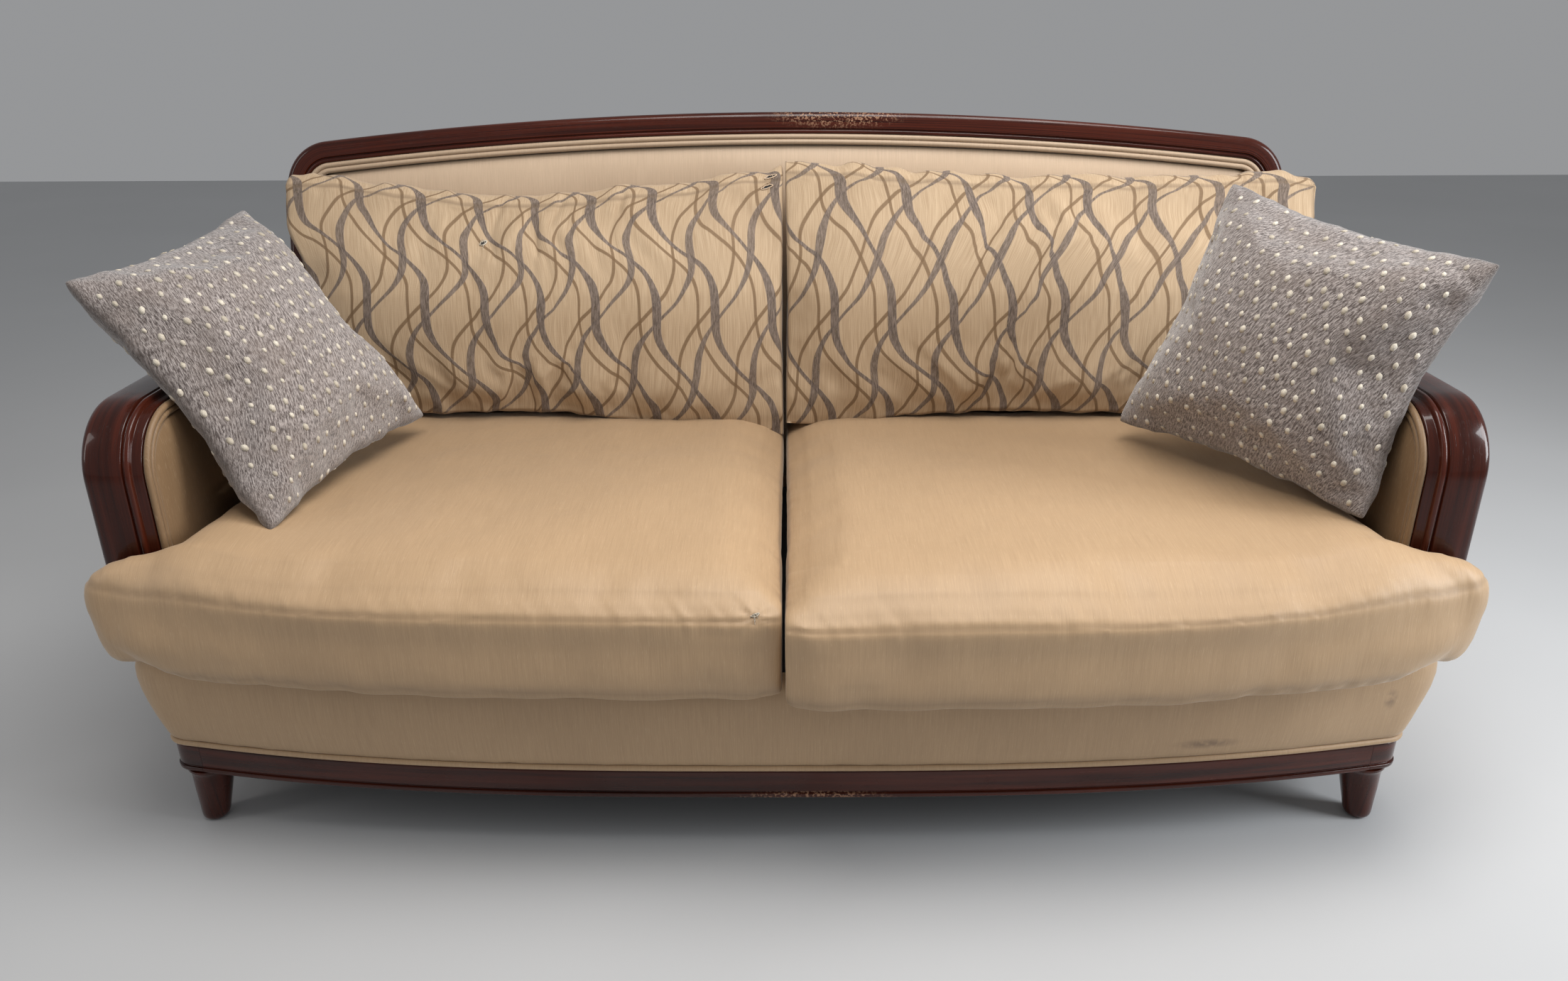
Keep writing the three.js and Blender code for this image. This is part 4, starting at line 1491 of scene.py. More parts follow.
@dataclass(frozen=True)
class Base:
    """Plinth, stuffed apron with its welt, feet, seat frame and underside."""

    workshop: Workshop
    joint: float = 0.868
    side_flare: float = 0.018
    plinth_section: tuple[Point3, ...] = (
        (102.4, 28.0, 0.8), (147.6, 28.0, 0.8), (147.6, 1.4, 3.2), (113.2, 1.4, 0.8),
        (112.2, 3.2, 0.6), (110.4, 3.2, 0.6), (109.6, -0.6, 1.6), (102.4, -0.6, 3.0),
    )
    apron_profile: tuple[Point2, ...] = (
        (157.5, 3.0), (159.0, 0.0), (163.0, -3.0), (170.0, -5.6), (184.0, -8.6),
        (200.0, -10.8), (220.0, -12.4), (240.0, -13.2), (260.0, -13.4), (275.0, -12.6),
        (286.0, -10.4), (293.0, -7.0), (298.0, -2.4), (300.0, 3.0), (300.0, 12.0),
        (300.0, 20.0), (280.0, 20.0), (180.0, 20.0), (157.5, 20.0),
    )
    foot_profile: tuple[Point2, ...] = (
        (0.0, 0.0), (7.0, 0.0), (12.0, 0.6), (16.0, 2.4), (18.6, 5.4), (20.2, 9.5),
        (21.2, 16.0), (22.4, 26.0), (24.6, 42.0), (26.8, 58.0), (28.4, 72.0), (29.4, 82.0),
        (30.6, 90.0), (32.6, 95.5), (35.0, 98.4), (35.2, 100.0), (35.0, 102.0), (0.0, 102.0),
    )

    def build(self) -> None:
        """Makes every piece of the base."""
        self.plinth()
        self.apron()
        self.feet()
        self.seat_frame()
        self.underside()

    def plinth(self) -> None:
        """Front rail between its two joints, the side rails with their round corners, the back."""
        section = rounded(self.plinth_section)
        line = LAYOUT.front_line(0.0, LAYOUT.base_back)
        gap = 0.0002
        fronts = [p for p in line if abs(p[0]) < self.joint - 0.004 and p[1] < 0.0]
        edge = self.joint - gap
        fronts = [(-edge, LAYOUT.bow(edge)), *fronts, (edge, LAYOUT.bow(edge))]
        path = [(*p, 0.0) for p in fronts]
        front = self.workshop.moulding("plinth_front_rail", path, section, UP, POLISH_PATCHED)
        settle(front, Slot.MAHOGANY, "plinth_front")
        edge = self.joint + gap
        sides = [p for p in line if abs(p[0]) > self.joint + 0.003]
        left = [p for p in sides if p[0] < 0.0] + [(-edge, LAYOUT.bow(edge))]
        right = [(edge, LAYOUT.bow(edge))] + [p for p in sides if p[0] > 0.0]
        for side, points in (("left", left), ("right", right)):
            path = [(*p, 0.0) for p in points]
            rail = self.workshop.moulding(f"plinth_side_{side}", path, section, UP, POLISH)
            settle(rail, Slot.MAHOGANY, f"plinth_{side}")
        back = board("plinth_back_rail", low("plinth_back"), high("plinth_back"), POLISH)
        settle(back, Slot.MAHOGANY, "plinth_back")

    def apron(self) -> None:
        """Stuffed border round the front and sides, the border at the back, and the welt."""
        section = [(z * MM, inward * MM) for z, inward in self.apron_profile]
        line = [(*p, 0.0) for p in LAYOUT.front_line(0.0, LAYOUT.base_back)]
        apron = self.workshop.moulding("apron", line, section, UP, SATIN_BASE)
        points = positions(apron.data)
        rear = points[:, 1] > LAYOUT.base_back - 0.0005
        points[rear, 1] += (points[rear, 2] - LAYOUT.lean_base) * math.tan(LAYOUT.rake)
        facing = normals(apron.data)
        beyond = np.maximum(np.abs(points[:, 0]) - LAYOUT.base_half + 0.030, 0.0)
        band = ease(points[:, 2], 0.155, 0.262) * ease(-points[:, 2], -0.306, -0.283)
        flare = self.side_flare * beyond / 0.040 * band
        flare = np.minimum(flare, self.side_flare) * (0.3 + 0.7 * ease(-points[:, 1], -0.30, 0.10))
        points[:, 0] += np.sign(points[:, 0]) * flare
        outer = ease(np.abs(facing[:, 0]) + np.maximum(-facing[:, 1], 0.0), 0.2, 0.8)
        belly = ease(points[:, 2], 0.165, 0.20) * ease(-points[:, 2], -0.292, -0.27)
        broad = fractal(points, 5.0, 11.0, 3) * 0.0030
        relief = broad + fractal(points * (1, 1, 0.35), 26.0, 5.0) * 0.0008
        foot = ease(-points[:, 2], -0.190, -0.160)
        gather = fractal(points * (1, 1, 0.1), 60.0, 8.0) * 0.0010 * foot
        moved = outer * (belly * relief + gather)
        set_positions(apron.data, points + facing * moved[:, None])
        # Painted shade along the apron's lower edge, where it tucks in above the plinth.
        store(apron.data, "seam", ease(-points[:, 2], -0.166, -0.157) * 0.6)
        borders = [f"base_border_{part}" for part in ("front", "left", "right")]
        settle(apron, Slot.TAN, *borders, fill=0.7)

        back = StuffedPanel(
            name="apron_back",
            finish=SATIN_PANEL,
            floor=0.012,
            outline=lambda x: 0.1565,
            ends=(-LAYOUT.base_half - 0.002, LAYOUT.base_half + 0.002),
            place=lambda x, s, h: LAYOUT.lean(x, s, LAYOUT.post_half + 0.0005 + h),
            thickness=0.003,
            swell=0.005,
            counts=(120, 14),
        ).build()
        turn_outwards(back)
        settle(back, Slot.TAN, "base_border_back", fill=0.6)

        welt_z = (low("base_welt").z + high("base_welt").z) / 2.0
        line = [(*p, welt_z) for p in LAYOUT.front_line(-0.0005, LAYOUT.base_back - 0.004)]
        welt = self.workshop.cord("apron_welt", line, 0.0046, UP, SATIN_BASE)
        no_seam_shade(welt)
        settle(welt, Slot.TAN, "base_welt")

    def feet(self) -> None:
        """Turned, raked feet with a coved neck."""
        turns = 40
        for place in ("front_left", "front_right", "back_left", "back_right"):
            node = f"foot_{place}"
            lowest, highest = low(node), high(node)
            side = 1.0 if place.endswith("right") else -1.0
            rake = 0.013
            inner = lowest.x if side > 0 else highest.x
            neck = inner + side * 0.035
            middle_y = (lowest.y + highest.y) / 2.0
            rings = []
            for radius, z in self.foot_profile[1:-1]:
                shift = side * rake * (1.0 - z / 102.0)
                angles = [2.0 * math.pi * k / turns for k in range(turns)]
                ring = [
                    (
                        neck + shift + radius * MM * math.cos(a),
                        middle_y + radius * MM * math.sin(a),
                        z * MM,
                    )
                    for a in angles
                ]
                rings.append(np.array(ring))
            points, faces = rings_to_mesh(rings)
            foot = new_piece(f"turned_{node}", points, faces, POLISH)
            turn_outwards(foot)
            foot.data.set_sharp_from_angle(angle=math.radians(50.0))
            places = positions(foot.data)
            angle = np.arctan2(places[:, 1] - middle_y, places[:, 0] - neck)
            store(foot.data, "along", places[:, 2])
            store(foot.data, "across", np.abs(angle) * 0.028)
            settle(foot, Slot.MAHOGANY, node)

    def seat_frame(self) -> None:
        """Finishes for the hidden seat timbers, webbing and deck."""
        rails = [f"seat_rail_{side}" for side in ("front", "left", "right", "back")]
        ends, sides = ("front", "back"), ("left", "right")
        blocks = [f"corner_block_{end}_{side}" for end in ends for side in sides]
        dress([*rails, *blocks, "seat_bearer"], BEECH)
        dress([f"seat_strap_{k}" for k in range(1, 7)], StrapWeave())
        lowest, highest = low("seat_deck"), high("seat_deck")
        line = [p for p in LAYOUT.front_line(-0.024, LAYOUT.base_back) if p[1] < 0.28]
        fronts = sorted(line)
        xs, ys = np.array([p[0] for p in fronts]), np.array([p[1] for p in fronts])

        def place(x: float, y: float, h: float) -> Point3:
            """Point of the deck: its outline runs forward from its straight rear edge."""
            return x, -y, lowest.z + h

        deck = StuffedPanel(
            name="seat_deck_pad",
            finish=LINING,
            floor=-highest.y + 0.001,
            outline=lambda x: -float(np.interp(x, xs, ys)),
            ends=(lowest.x + 0.002, highest.x - 0.002),
            place=place,
            thickness=0.006,
            swell=highest.z - lowest.z - 0.0066,
            counts=(60, 30),
        ).build()
        turn_outwards(deck)
        settle(deck, Slot.LINING, "seat_deck", fill=0.4)

    def underside(self) -> None:
        """Black dust cover under the frame, sagging a little, with its staples."""
        lowest, highest = low("dust_cover"), high("dust_cover")
        line = [p for p in LAYOUT.front_line(-0.030, LAYOUT.base_back) if p[1] < highest.y - 0.02]
        fronts = sorted(line)
        xs, ys = np.array([p[0] for p in fronts]), np.array([p[1] for p in fronts])
        slab = Slab(72, 32, 1)
        half = min(-lowest.x, highest.x) - 0.001
        x = slab.lattice[:, 0] * half
        front = np.interp(x, xs, ys) + 0.001
        share = (slab.lattice[:, 1] + 1.0) / 2.0
        y = front + (highest.y - 0.001 - front) * share
        bay = np.abs(np.sin(x / half * math.pi))
        sag = 0.006 * bay * np.sin(share * math.pi)
        place = np.stack([x, y, x * 0.0], axis=1)
        crease = 0.0008 * fractal(place * (1.0, 0.4, 1.0), 18.0, 2.0) * np.sin(share * math.pi)
        z = lowest.z + 0.0004 + (slab.lattice[:, 2] + 1.0) / 2.0 * 0.0006 - sag + crease
        cover = new_piece("dust_sheet", np.stack([x, y, z], axis=1), slab.faces, LINING)
        settle(cover, Slot.LINING, "dust_cover")
        self.staples(half, xs, ys, highest.y, lowest.z)

    def staples(self, half: float, xs: np.ndarray, ys: np.ndarray, back: float, z: float) -> None:
        """Staples round the edge of the dust cover.

        Args:
            half: Half width of the cover.
            xs: Places across its front line.
            ys: Depths of its front line.
            back: Depth of its rear edge.
            z: Height of its lower side.
        """
        inset = 0.007
        spots: list[tuple[float, float, Point3]] = []
        for x in np.arange(-half + 0.04, half - 0.03, 0.042):
            spots.append((x, float(np.interp(x, xs, ys)) + inset, (1.0, 0.0, 0.0)))
            spots.append((x, back - inset, (1.0, 0.0, 0.0)))
        for y in np.arange(-0.26, back - 0.02, 0.042):
            spots += [(-half + inset, y, (0.0, 1.0, 0.0)), (half - inset, y, (0.0, 1.0, 0.0))]
        wire = rounded(((-5.5, 2.2, 0.1), (-5.5, -0.7, 0.6), (5.5, -0.7, 0.6), (5.5, 2.2, 0.1)), 2)
        open_wire = [(a, 0.0, -b) for a, b in wire[2:-2]]
        angles = np.linspace(0, 2 * math.pi, 7)[:-1]
        rim = [(0.00045 * math.cos(a), 0.00035 * math.sin(a)) for a in angles]
        staple = self.workshop.moulding("staple", open_wire, rim, (0.0, 1.0, 0.0), DullSteel())
        places = np.array([(x, y, z - 0.0006) for x, y, _ in spots])
        lies = np.tile((0.0, 0.0, -1.0), (len(spots), 1))
        ways = np.array([way for _, _, way in spots])
        piece = self.workshop.scatter(
            "cover_staples", places, lies, ways, staple, (0.94, 1.06), DullSteel(), seed=19
        )
        settle(piece, Slot.LINING)


@dataclass(frozen=True)
class Arm:
    """One arm: moulded band, stuffed panels on both sides, and a double welt."""

    workshop: Workshop
    side: str
    sign: float
    band: tuple[Point3, ...] = (
        (0.0, -30.0, 1.5), (0.0, -0.6, 11.0), (28.0, 0.5, 0.0), (55.6, -0.4, 1.8),
        (57.4, -4.2, 0.8), (59.2, -4.2, 0.8), (59.6, 0.0, 3.0), (66.6, 0.0, 3.0),
        (67.8, -6.8, 1.2), (81.0, -7.6, 2.6), (81.0, -30.0, 1.0),
    )

    def build(self) -> None:
        """Makes every piece of the arm."""
        outer = self.sign * LAYOUT.arm_outer
        facing = (-self.sign, 0.0, 0.0)
        flip = -self.sign
        section = [(across, height * flip) for across, height in rounded(self.band)]
        line = LAYOUT.hoop(0.0)
        path = [(outer, y, z) for y, z in line]
        band = self.workshop.moulding(f"arm_moulding_{self.side}", path, section, facing, POLISH)
        points = positions(band.data)
        rear = points[:, 1] > line[-1][0] - 0.0005
        points[rear, 1] -= (LAYOUT.arm_top - points[rear, 2]) * math.tan(LAYOUT.rake)
        set_positions(band.data, points)
        settle(band, Slot.MAHOGANY, f"arm_band_{self.side}")
        self.welts(facing)
        self.panels()
        dress([f"arm_board_{self.side}"], PLYWOOD)
        dress([f"arm_post_{self.side}"], BEECH)

    def welts(self, facing: Point3) -> None:
        """Two cords side by side along the inner side of the band."""
        radius = 0.0046
        x = self.sign * (LAYOUT.arm_inner - radius - 0.0004)
        cords = []
        for inset in (0.0125, 0.0218):
            path = [(x, y, z) for y, z in LAYOUT.hoop(inset, 0.003)]
            name = f"arm_cord_{inset:.4f}"
            # The welts take the darker satin copy with painted shade.
            cords.append(self.workshop.cord(name, path, radius, facing, SATIN_SIDE_PAINTED_SHADE))
        piece = joined(cords, f"arm_double_welt_{self.side}")
        no_seam_shade(piece)
        settle(piece, Slot.TAN, f"arm_welt_{self.side}")

    def panels(self) -> None:
        """Stuffed panels on the inner and the outer side of the hoop."""
        inside, outside = LAYOUT.arm_inner - 0.0004, LAYOUT.arm_outer - 0.0136
        for name, inset, base, way, thickness, swell, node in (
            ("arm_inner_stuffing", 0.027, inside, -1.0, 0.006, 0.007, "arm_pad"),
            ("arm_outer_stuffing", 0.0306, outside, 1.0, 0.005, 0.006, "arm_outer_panel"),
        ):
            line = LAYOUT.hoop(inset, 0.0015)
            ys, zs = np.array([p[0] for p in line]), np.array([p[1] for p in line])

            def outline(y: float, ys: np.ndarray = ys, zs: np.ndarray = zs) -> float:
                """Height of the hoop over a depth."""
                return float(np.interp(y, ys[15:], zs[15:]))

            def place(y: float, z: float, h: float, base: float = base, way: float = way) -> Point3:
                """Point of the panel, with its rear edge on the lean of the back post."""
                share = max((y - ys[15]) / (ys[-1] - ys[15]), 0.0) ** 3
                slide = (LAYOUT.rear_of_arm(z) - LAYOUT.rear_of_arm(float(zs[-1]))) * share
                return self.sign * (base + way * h), y + slide, z

            panel = StuffedPanel(
                name=f"{name}_{self.side}",
                # The panels take the darker satin copy with painted shade.
                finish=SATIN_SIDE_PAINTED_SHADE,
                floor=LAYOUT.arm_floor,
                outline=outline,
                ends=(float(ys[15]), float(ys[-1])),
                place=place,
                thickness=thickness,
                swell=swell,
                counts=(64, 40),
            ).build()
            turn_outwards(panel)
            settle(panel, Slot.TAN, f"{node}_{self.side}", fill=0.6)


@dataclass(frozen=True)
class BackFrame:
    """Crest rail, posts, stuffed back panels and the double welt between them."""

    workshop: Workshop
    section: tuple[Point3, ...] = (
        (-25.0, 0.0, 10.0), (25.0, 0.0, 6.0), (25.0, 38.0, 1.5), (-24.6, 38.0, 2.6),
        (-24.6, 31.6, 2.4), (-21.8, 31.2, 0.6), (-21.8, 29.6, 0.6), (-25.0, 28.8, 1.4),
    )

    def build(self) -> None:
        """Makes every piece of the back."""
        self.wood()
        self.welts()
        self.panels()
        dress(["back_rail_lower", "back_muntin"], BEECH)
        dress([f"back_strap_{k}" for k in range(1, 4)], StrapWeave())

    def wood(self) -> None:
        """Posts up to the joints under the corners, and the crest rail between them."""
        section = rounded(self.section)
        line = LAYOUT.arch(0.0, LAYOUT.panel_foot)
        joint = (high("back_post_left").z - LAYOUT.lean_base) / math.cos(LAYOUT.rake)
        half = LAYOUT.arm_outer
        upper = [p for p in line if p[1] > joint + 0.004]
        crest = [(-half, joint + 0.0002), *upper, (half, joint + 0.0002)]
        left = [(-half, LAYOUT.panel_foot), (-half, joint)]
        right = [(half, joint), (half, LAYOUT.panel_foot)]
        runs = {
            "crest_moulding": (crest, "crest_rail", POLISH_PATCHED),
            "back_upright_left": (left, "back_post_left", POLISH),
            "back_upright_right": (right, "back_post_right", POLISH),
        }
        for name, (points, node, finish) in runs.items():
            path = [LAYOUT.lean(x, s, 0.0) for x, s in points]
            piece = self.workshop.moulding(name, path, section, LAYOUT.lean_normal(), finish)
            settle(piece, Slot.MAHOGANY, node)

    def welts(self) -> None:
        """Two cords side by side along the inner edge of the wood."""
        radius = 0.0047
        cords = []
        for inset in (0.0428, 0.0522):
            line = LAYOUT.arch(inset, LAYOUT.panel_foot + 0.002)
            path = [LAYOUT.lean(x, s, radius - LAYOUT.post_half) for x, s in line]
            name = f"back_cord_{inset:.4f}"
            cords.append(self.workshop.cord(name, path, radius, LAYOUT.lean_normal(), SATIN_PANEL))
        piece = joined(cords, "back_double_welt")
        # Painted shade: the whole back welt is darkened through the seam weights.
        store(piece.data, "seam", np.full(len(piece.data.vertices), 0.55))
        settle(piece, Slot.TAN, "back_welt")

    def panels(self) -> None:
        """Stuffed panel inside the frame, and the covered panel behind it."""
        for name, inset, base, way, thickness, swell, node, fill in (
            ("back_inner_stuffing", 0.0566, -0.0045, -1.0, 0.009, 0.010, "back_inner_pad", 0.6),
            ("back_outer_cover", 0.0392, 0.0125, 1.0, 0.005, 0.005, "back_outer_panel", 0.4),
        ):
            line = LAYOUT.arch(inset, LAYOUT.panel_foot)
            upper = line[39:-39]
            xs, ss = np.array([p[0] for p in upper]), np.array([p[1] for p in upper])

            def outline(x: float, xs: np.ndarray = xs, ss: np.ndarray = ss) -> float:
                """Length up the lean of the panel's top."""
                return float(np.interp(x, xs, ss))

            def place(x: float, s: float, h: float, base: float = base, way: float = way) -> Point3:
                """Point of the panel in the leaning frame."""
                return LAYOUT.lean(x, s, base + way * h)

            panel = StuffedPanel(
                name=name,
                finish=SATIN_PANEL,
                floor=LAYOUT.panel_foot,
                outline=outline,
                ends=(float(xs[0]), float(xs[-1])),
                place=place,
                thickness=thickness,
                swell=swell,
                counts=(110, 46),
            ).build()
            turn_outwards(panel)
            settle(panel, Slot.TAN, node, fill=fill)


def joined(pieces: Sequence[bpy.types.Object], name: str) -> bpy.types.Object:
    """Puts several pieces of one finish into one object."""
    work = bmesh.new()
    for piece in pieces:
        work.from_mesh(piece.data)
    mesh = bpy.data.meshes.new(name)
    work.to_mesh(mesh)
    work.free()
    mesh.materials.append(pieces[0].data.materials[0])
    for piece in pieces:
        bpy.data.objects.remove(piece)
    whole = bpy.data.objects.new(name, mesh)
    bpy.context.scene.collection.objects.link(whole)
    mesh.shade_smooth()
    return whole


# ---- Cushions ----


@dataclass(frozen=True)
class SeatCushion:
    """A boxed seat cushion with a bowed front and an ear that wraps round the arm's front."""

    side: str
    sign: float
    forward: float
    half: float = high("seat_cushion_right").x
    front: float = low("seat_cushion_left").y
    back: float = high("seat_cushion_left").y
    floor: float = low("seat_cushion_left").z
    bow: float = 0.109
    seam_z: float = 0.430
    crown: float = 0.482
    side_limit: float = 0.843
    gap: float = 0.0022
    ear_puff: float = 0.021
    ear_round: float = 0.016
    belly: float = 0.015
    squeeze: float = 0.013
    lip: float = 0.015
    voxel: float = 0.0085

    def front_at(self, x: float) -> float:
        """Depth of the front seam at a distance from the middle of the sofa."""
        share = abs(x) / self.half
        return self.front + self.bow * share**3.3 - self.forward * (1.0 - share**4)

    def plan(self) -> np.ndarray:
        """Outline of the cushion in plan, for the left side, a little smaller than the cover."""
        ear_back = LAYOUT.arm_front - 0.010
        line: list[Point2] = []
        for k in range(46):
            x = 0.010 + (0.895 - 0.010) * k / 45
            round_off = 0.012 * math.exp(-((x - 0.010) / 0.022) ** 2)
            line.append((-x, self.front_at(x) + 0.008 + round_off))
        edge = self.front_at(0.895) + 0.008
        for k in range(1, 9):
            angle = k / 8 * math.pi / 2.0
            across = 0.895 + (self.half - 0.011 - 0.895) * math.sin(angle)
            line.append((-across, edge + (ear_back - 0.012 - edge) * (1.0 - math.cos(angle))))
        line += [(-self.half + 0.020, ear_back), (-self.side_limit - 0.030, ear_back)]
        line.append((-self.side_limit + 0.008, ear_back + 0.010))
        depth = self.back - ear_back
        line += [(-self.side_limit + 0.008, ear_back + depth * k / 24) for k in range(1, 24)]
        line += [(-self.side_limit + 0.012 + 0.8 * k / 20, self.back - 0.008) for k in range(20)]
        line += [(-0.010, self.back - (self.back - self.front) * k / 24) for k in range(2, 23)]
        return np.array(line)

    def shell(self) -> tuple[bpy.types.Object, np.ndarray]:
        """The closed cover before it swells, evenly meshed, and its outline in plan."""
        plan = self.plan()
        room = (np.array((-0.72, -0.33)), np.array((-0.12, 0.20)))
        levels = (
            (0.0, 0.022),
            (0.02, 0.004),
            (0.10, 0.0),
            (0.30, 0.0),
            (0.50, 0.0),
            (0.70, 0.0),
            (0.90, 0.0),
            (1.0, 0.004),
            (1.05, 0.05),
            (1.11, 0.14),
            (1.17, 0.30),
            (1.22, 0.55),
            (1.25, 0.85),
        )
        rings = []
        rise = self.seam_z - self.floor - 0.004
        for level, pull in levels:
            ring = plan + (np.clip(plan, *room) - plan) * pull
            under = max(1.0 - level, 0.0) ** 1.8
            ring[:, 1] += 0.014 * under * ease(-ring[:, 1], 0.27, 0.38)
            ring[:, 0] += 0.022 * under * ease(-ring[:, 0], 0.80, 0.95)
            z = np.full((len(ring), 1), self.floor + 0.004 + rise * level)
            rings.append(np.hstack([ring * (-self.sign, 1.0), z]))
        points, faces = rings_to_mesh(rings)
        piece = new_piece(f"seat_cover_{self.side}", points, faces, SATIN_SEAT)
        turn_outwards(piece)
        remesh = piece.modifiers.new("even", "REMESH")
        remesh.mode = "VOXEL"
        remesh.voxel_size = self.voxel
        bake_modifiers(piece)
        smooth = piece.modifiers.new("smooth", "SMOOTH")
        smooth.factor = 0.5
        smooth.iterations = 2
        bake_modifiers(piece)
        return piece, plan * (-self.sign, 1.0)

    def build(self) -> bpy.types.Object:
        """Swells the cover, gathers its seams, and rests it against its neighbours."""
        piece, plan = self.shell()
        rest = positions(piece.data)
        rim = edge_distance(rest[:, :2], plan)
        upper = np.hypot(rest[:, 2] - self.seam_z, np.maximum(rim - 0.004, 0.0))
        lower = np.hypot(rest[:, 2] - self.floor - 0.010, np.maximum(rim - 0.012, 0.0))
        store(piece.data, "upper", upper)
        store(piece.data, "lower", lower)
        run = self.run_along(rest)
        gather = hump(upper, 0.010) * (0.55 + 0.45 * np.sign(np.sin(run * 260.0)))
        cover = Stuffing(pressure=4.0, cap=0.026, seam_shrink=0.04, calm=14)
        cover.swell(piece, np.clip(gather, 0.0, 1.0))
        self.fill_out(piece)
        subdivide(piece)
        self.gather_seams(piece)
        self.rest_on_neighbours(piece)
        self.soft_wear(piece)
        settle(piece, Slot.TAN, f"seat_cushion_{self.side}", fill=0.85)
        return piece

    def fill_out(self, piece: bpy.types.Object) -> None:
        """Stretches the swollen cover to the full size of the cushion."""
        across = sorted((self.sign * (self.half - 0.002), self.sign * self.gap * 0.5))
        lowest = (across[0], self.front - self.forward * 1.1, self.floor - 0.002)
        highest = (across[1], self.back + 0.004, self.crown)
        points = refitted(positions(piece.data), lowest, highest)
        belly = ease(-points[:, 2], -0.400, -0.315) * self.belly
        outward = normals(piece.data) * (1.0, 1.0, 0.15)
        facing = ease(-points[:, 1], 0.30, 0.34)
        points = points + outward * (belly * facing)[:, None]
        across = np.abs(points[:, 0])
        top = ease(points[:, 2], 0.400, 0.452)
        forward = 1.0 - 0.5 * ease(points[:, 1], 0.0, 0.3)
        points[:, 2] += self.ear_puff * ease(across, 0.66, 0.84) * top * forward
        points[:, 0] -= np.sign(points[:, 0]) * self.ear_round * ease(across, 0.89, 0.953) * top
        set_positions(piece.data, points)

    def run_along(self, points: np.ndarray) -> np.ndarray:
        """Length along the seam, near enough: across at the front and in depth at the sides."""
        return points[:, 0] + points[:, 1] * 0.9

    def gather_seams(self, piece: bpy.types.Object) -> None:
        """Grooves along both seams, with short puckers that run out from the upper one; stores
        painted shade along the seams, over the rear of the seat and under the front lip.
        """
        points = positions(piece.data)
        upper, lower = stored(piece.data, "upper"), stored(piece.data, "lower")
        run = self.run_along(points)
        line = np.stack([run, run * 0.0, run * 0.0], axis=1)
        inner = np.exp(-((np.abs(points[:, 0]) / 0.17) ** 2)) * ease(-points[:, 1], 0.30, 0.40)
        strength = 0.35 + 1.1 * inner + 0.5 * np.maximum(fractal(line, 7.0, 2.0 + self.sign), 0.0)
        waves = fractal(line, 62.0, 5.0, 1) + 0.6 * fractal(line, 120.0, 9.0, 1)
        reach = 0.012 + 0.014 * np.maximum(fractal(line, 30.0, 4.0, 1) + 0.3, 0.0)
        pucker = waves * np.exp(-upper / reach) * (1.0 - np.exp(-upper / 0.004))
        groove = -0.0015 * hump(upper, 0.0045) - 0.0016 * hump(lower, 0.005)
        move = groove + 0.0030 * strength * pucker
        push(piece, move)
        # Painted shade along both seams.
        seam = hump(upper, 0.0034) * 0.5 + hump(lower, 0.005) * 0.6
        # Painted shade over the rear of the seat, under the back cushions.
        seam = seam + 0.62 * ease(points[:, 1], -0.34, 0.16) * ease(points[:, 2], 0.42, 0.45)
        # Painted shadow along the underside of the front lip.
        seam = np.maximum(seam, 0.85 * ease(-points[:, 2], -0.320, -0.303))
        store(piece.data, "seam", np.clip(seam, 0.0, 1.0))
        for name in ("upper", "lower"):
            piece.data.attributes.remove(piece.data.attributes[name])

    def rest_on_neighbours(self, piece: bpy.types.Object) -> None:
        """Presses the cover flat where it meets the deck, the arm and the other cushion."""
        points = positions(piece.data)
        across = points[:, 0] * self.sign
        ear_back = LAYOUT.arm_front - 0.003
        beside = points[:, 1] > ear_back
        past_arm = across - self.side_limit
        past_ear = points[:, 1] - ear_back
        by_side = beside & ((past_arm < past_ear) | (past_arm < 0.0))
        across = np.where(by_side, pressed(across, self.side_limit), across)
        behind = ~by_side & (across > self.side_limit)
        points[:, 1] = np.where(behind, pressed(points[:, 1], ear_back), points[:, 1])
        across = across - self.squeeze * hump(across, 0.055) * ease(points[:, 2], 0.33, 0.42)
        across = -pressed(-across, -self.gap, 0.003)
        points[:, 0] = across * self.sign
        points[:, 1] = pressed(points[:, 1], self.back)
        points[:, 2] = -pressed(-points[:, 2], -self.floor - 0.0006, 0.0015)
        apron = np.array([LAYOUT.bow(min(abs(x), 0.85)) for x in points[:, 0]]) - 0.0165
        hanging = ease(apron - points[:, 1], 0.0, 0.013) * ease(-points[:, 2], -0.345, -0.305)
        points[:, 2] -= self.lip * hanging
        set_positions(piece.data, points)

    def soft_wear(self, piece: bpy.types.Object) -> None:
        """Broad shallow dents from use, and the pucker round a snag on the left cushion."""
        points, facing = positions(piece.data), normals(piece.data)
        flat = points * (1.0, 1.0, 0.4)
        top = ease(facing[:, 2], 0.3, 0.9)
        move = 0.0035 * fractal(flat, 4.2, 14.0 + self.sign, 2) * top
        move = move + 0.0012 * fractal(flat, 13.0, 2.0, 2) * ease(points[:, 2], 0.32, 0.36)
        if self.sign < 0.0:
            centre = np.array((-0.035, self.front_at(0.035) + 0.002, self.seam_z + 0.012))
            offset = points - centre
            away = np.linalg.norm(offset, axis=1)
            angle = np.arctan2(offset[:, 2] + offset[:, 1], offset[:, 0])
            move = move + 0.0016 * np.sin(angle * 7.0) * hump(away, 0.022)
            move = move - 0.0042 * hump(away, 0.0060)
        push(piece, move)


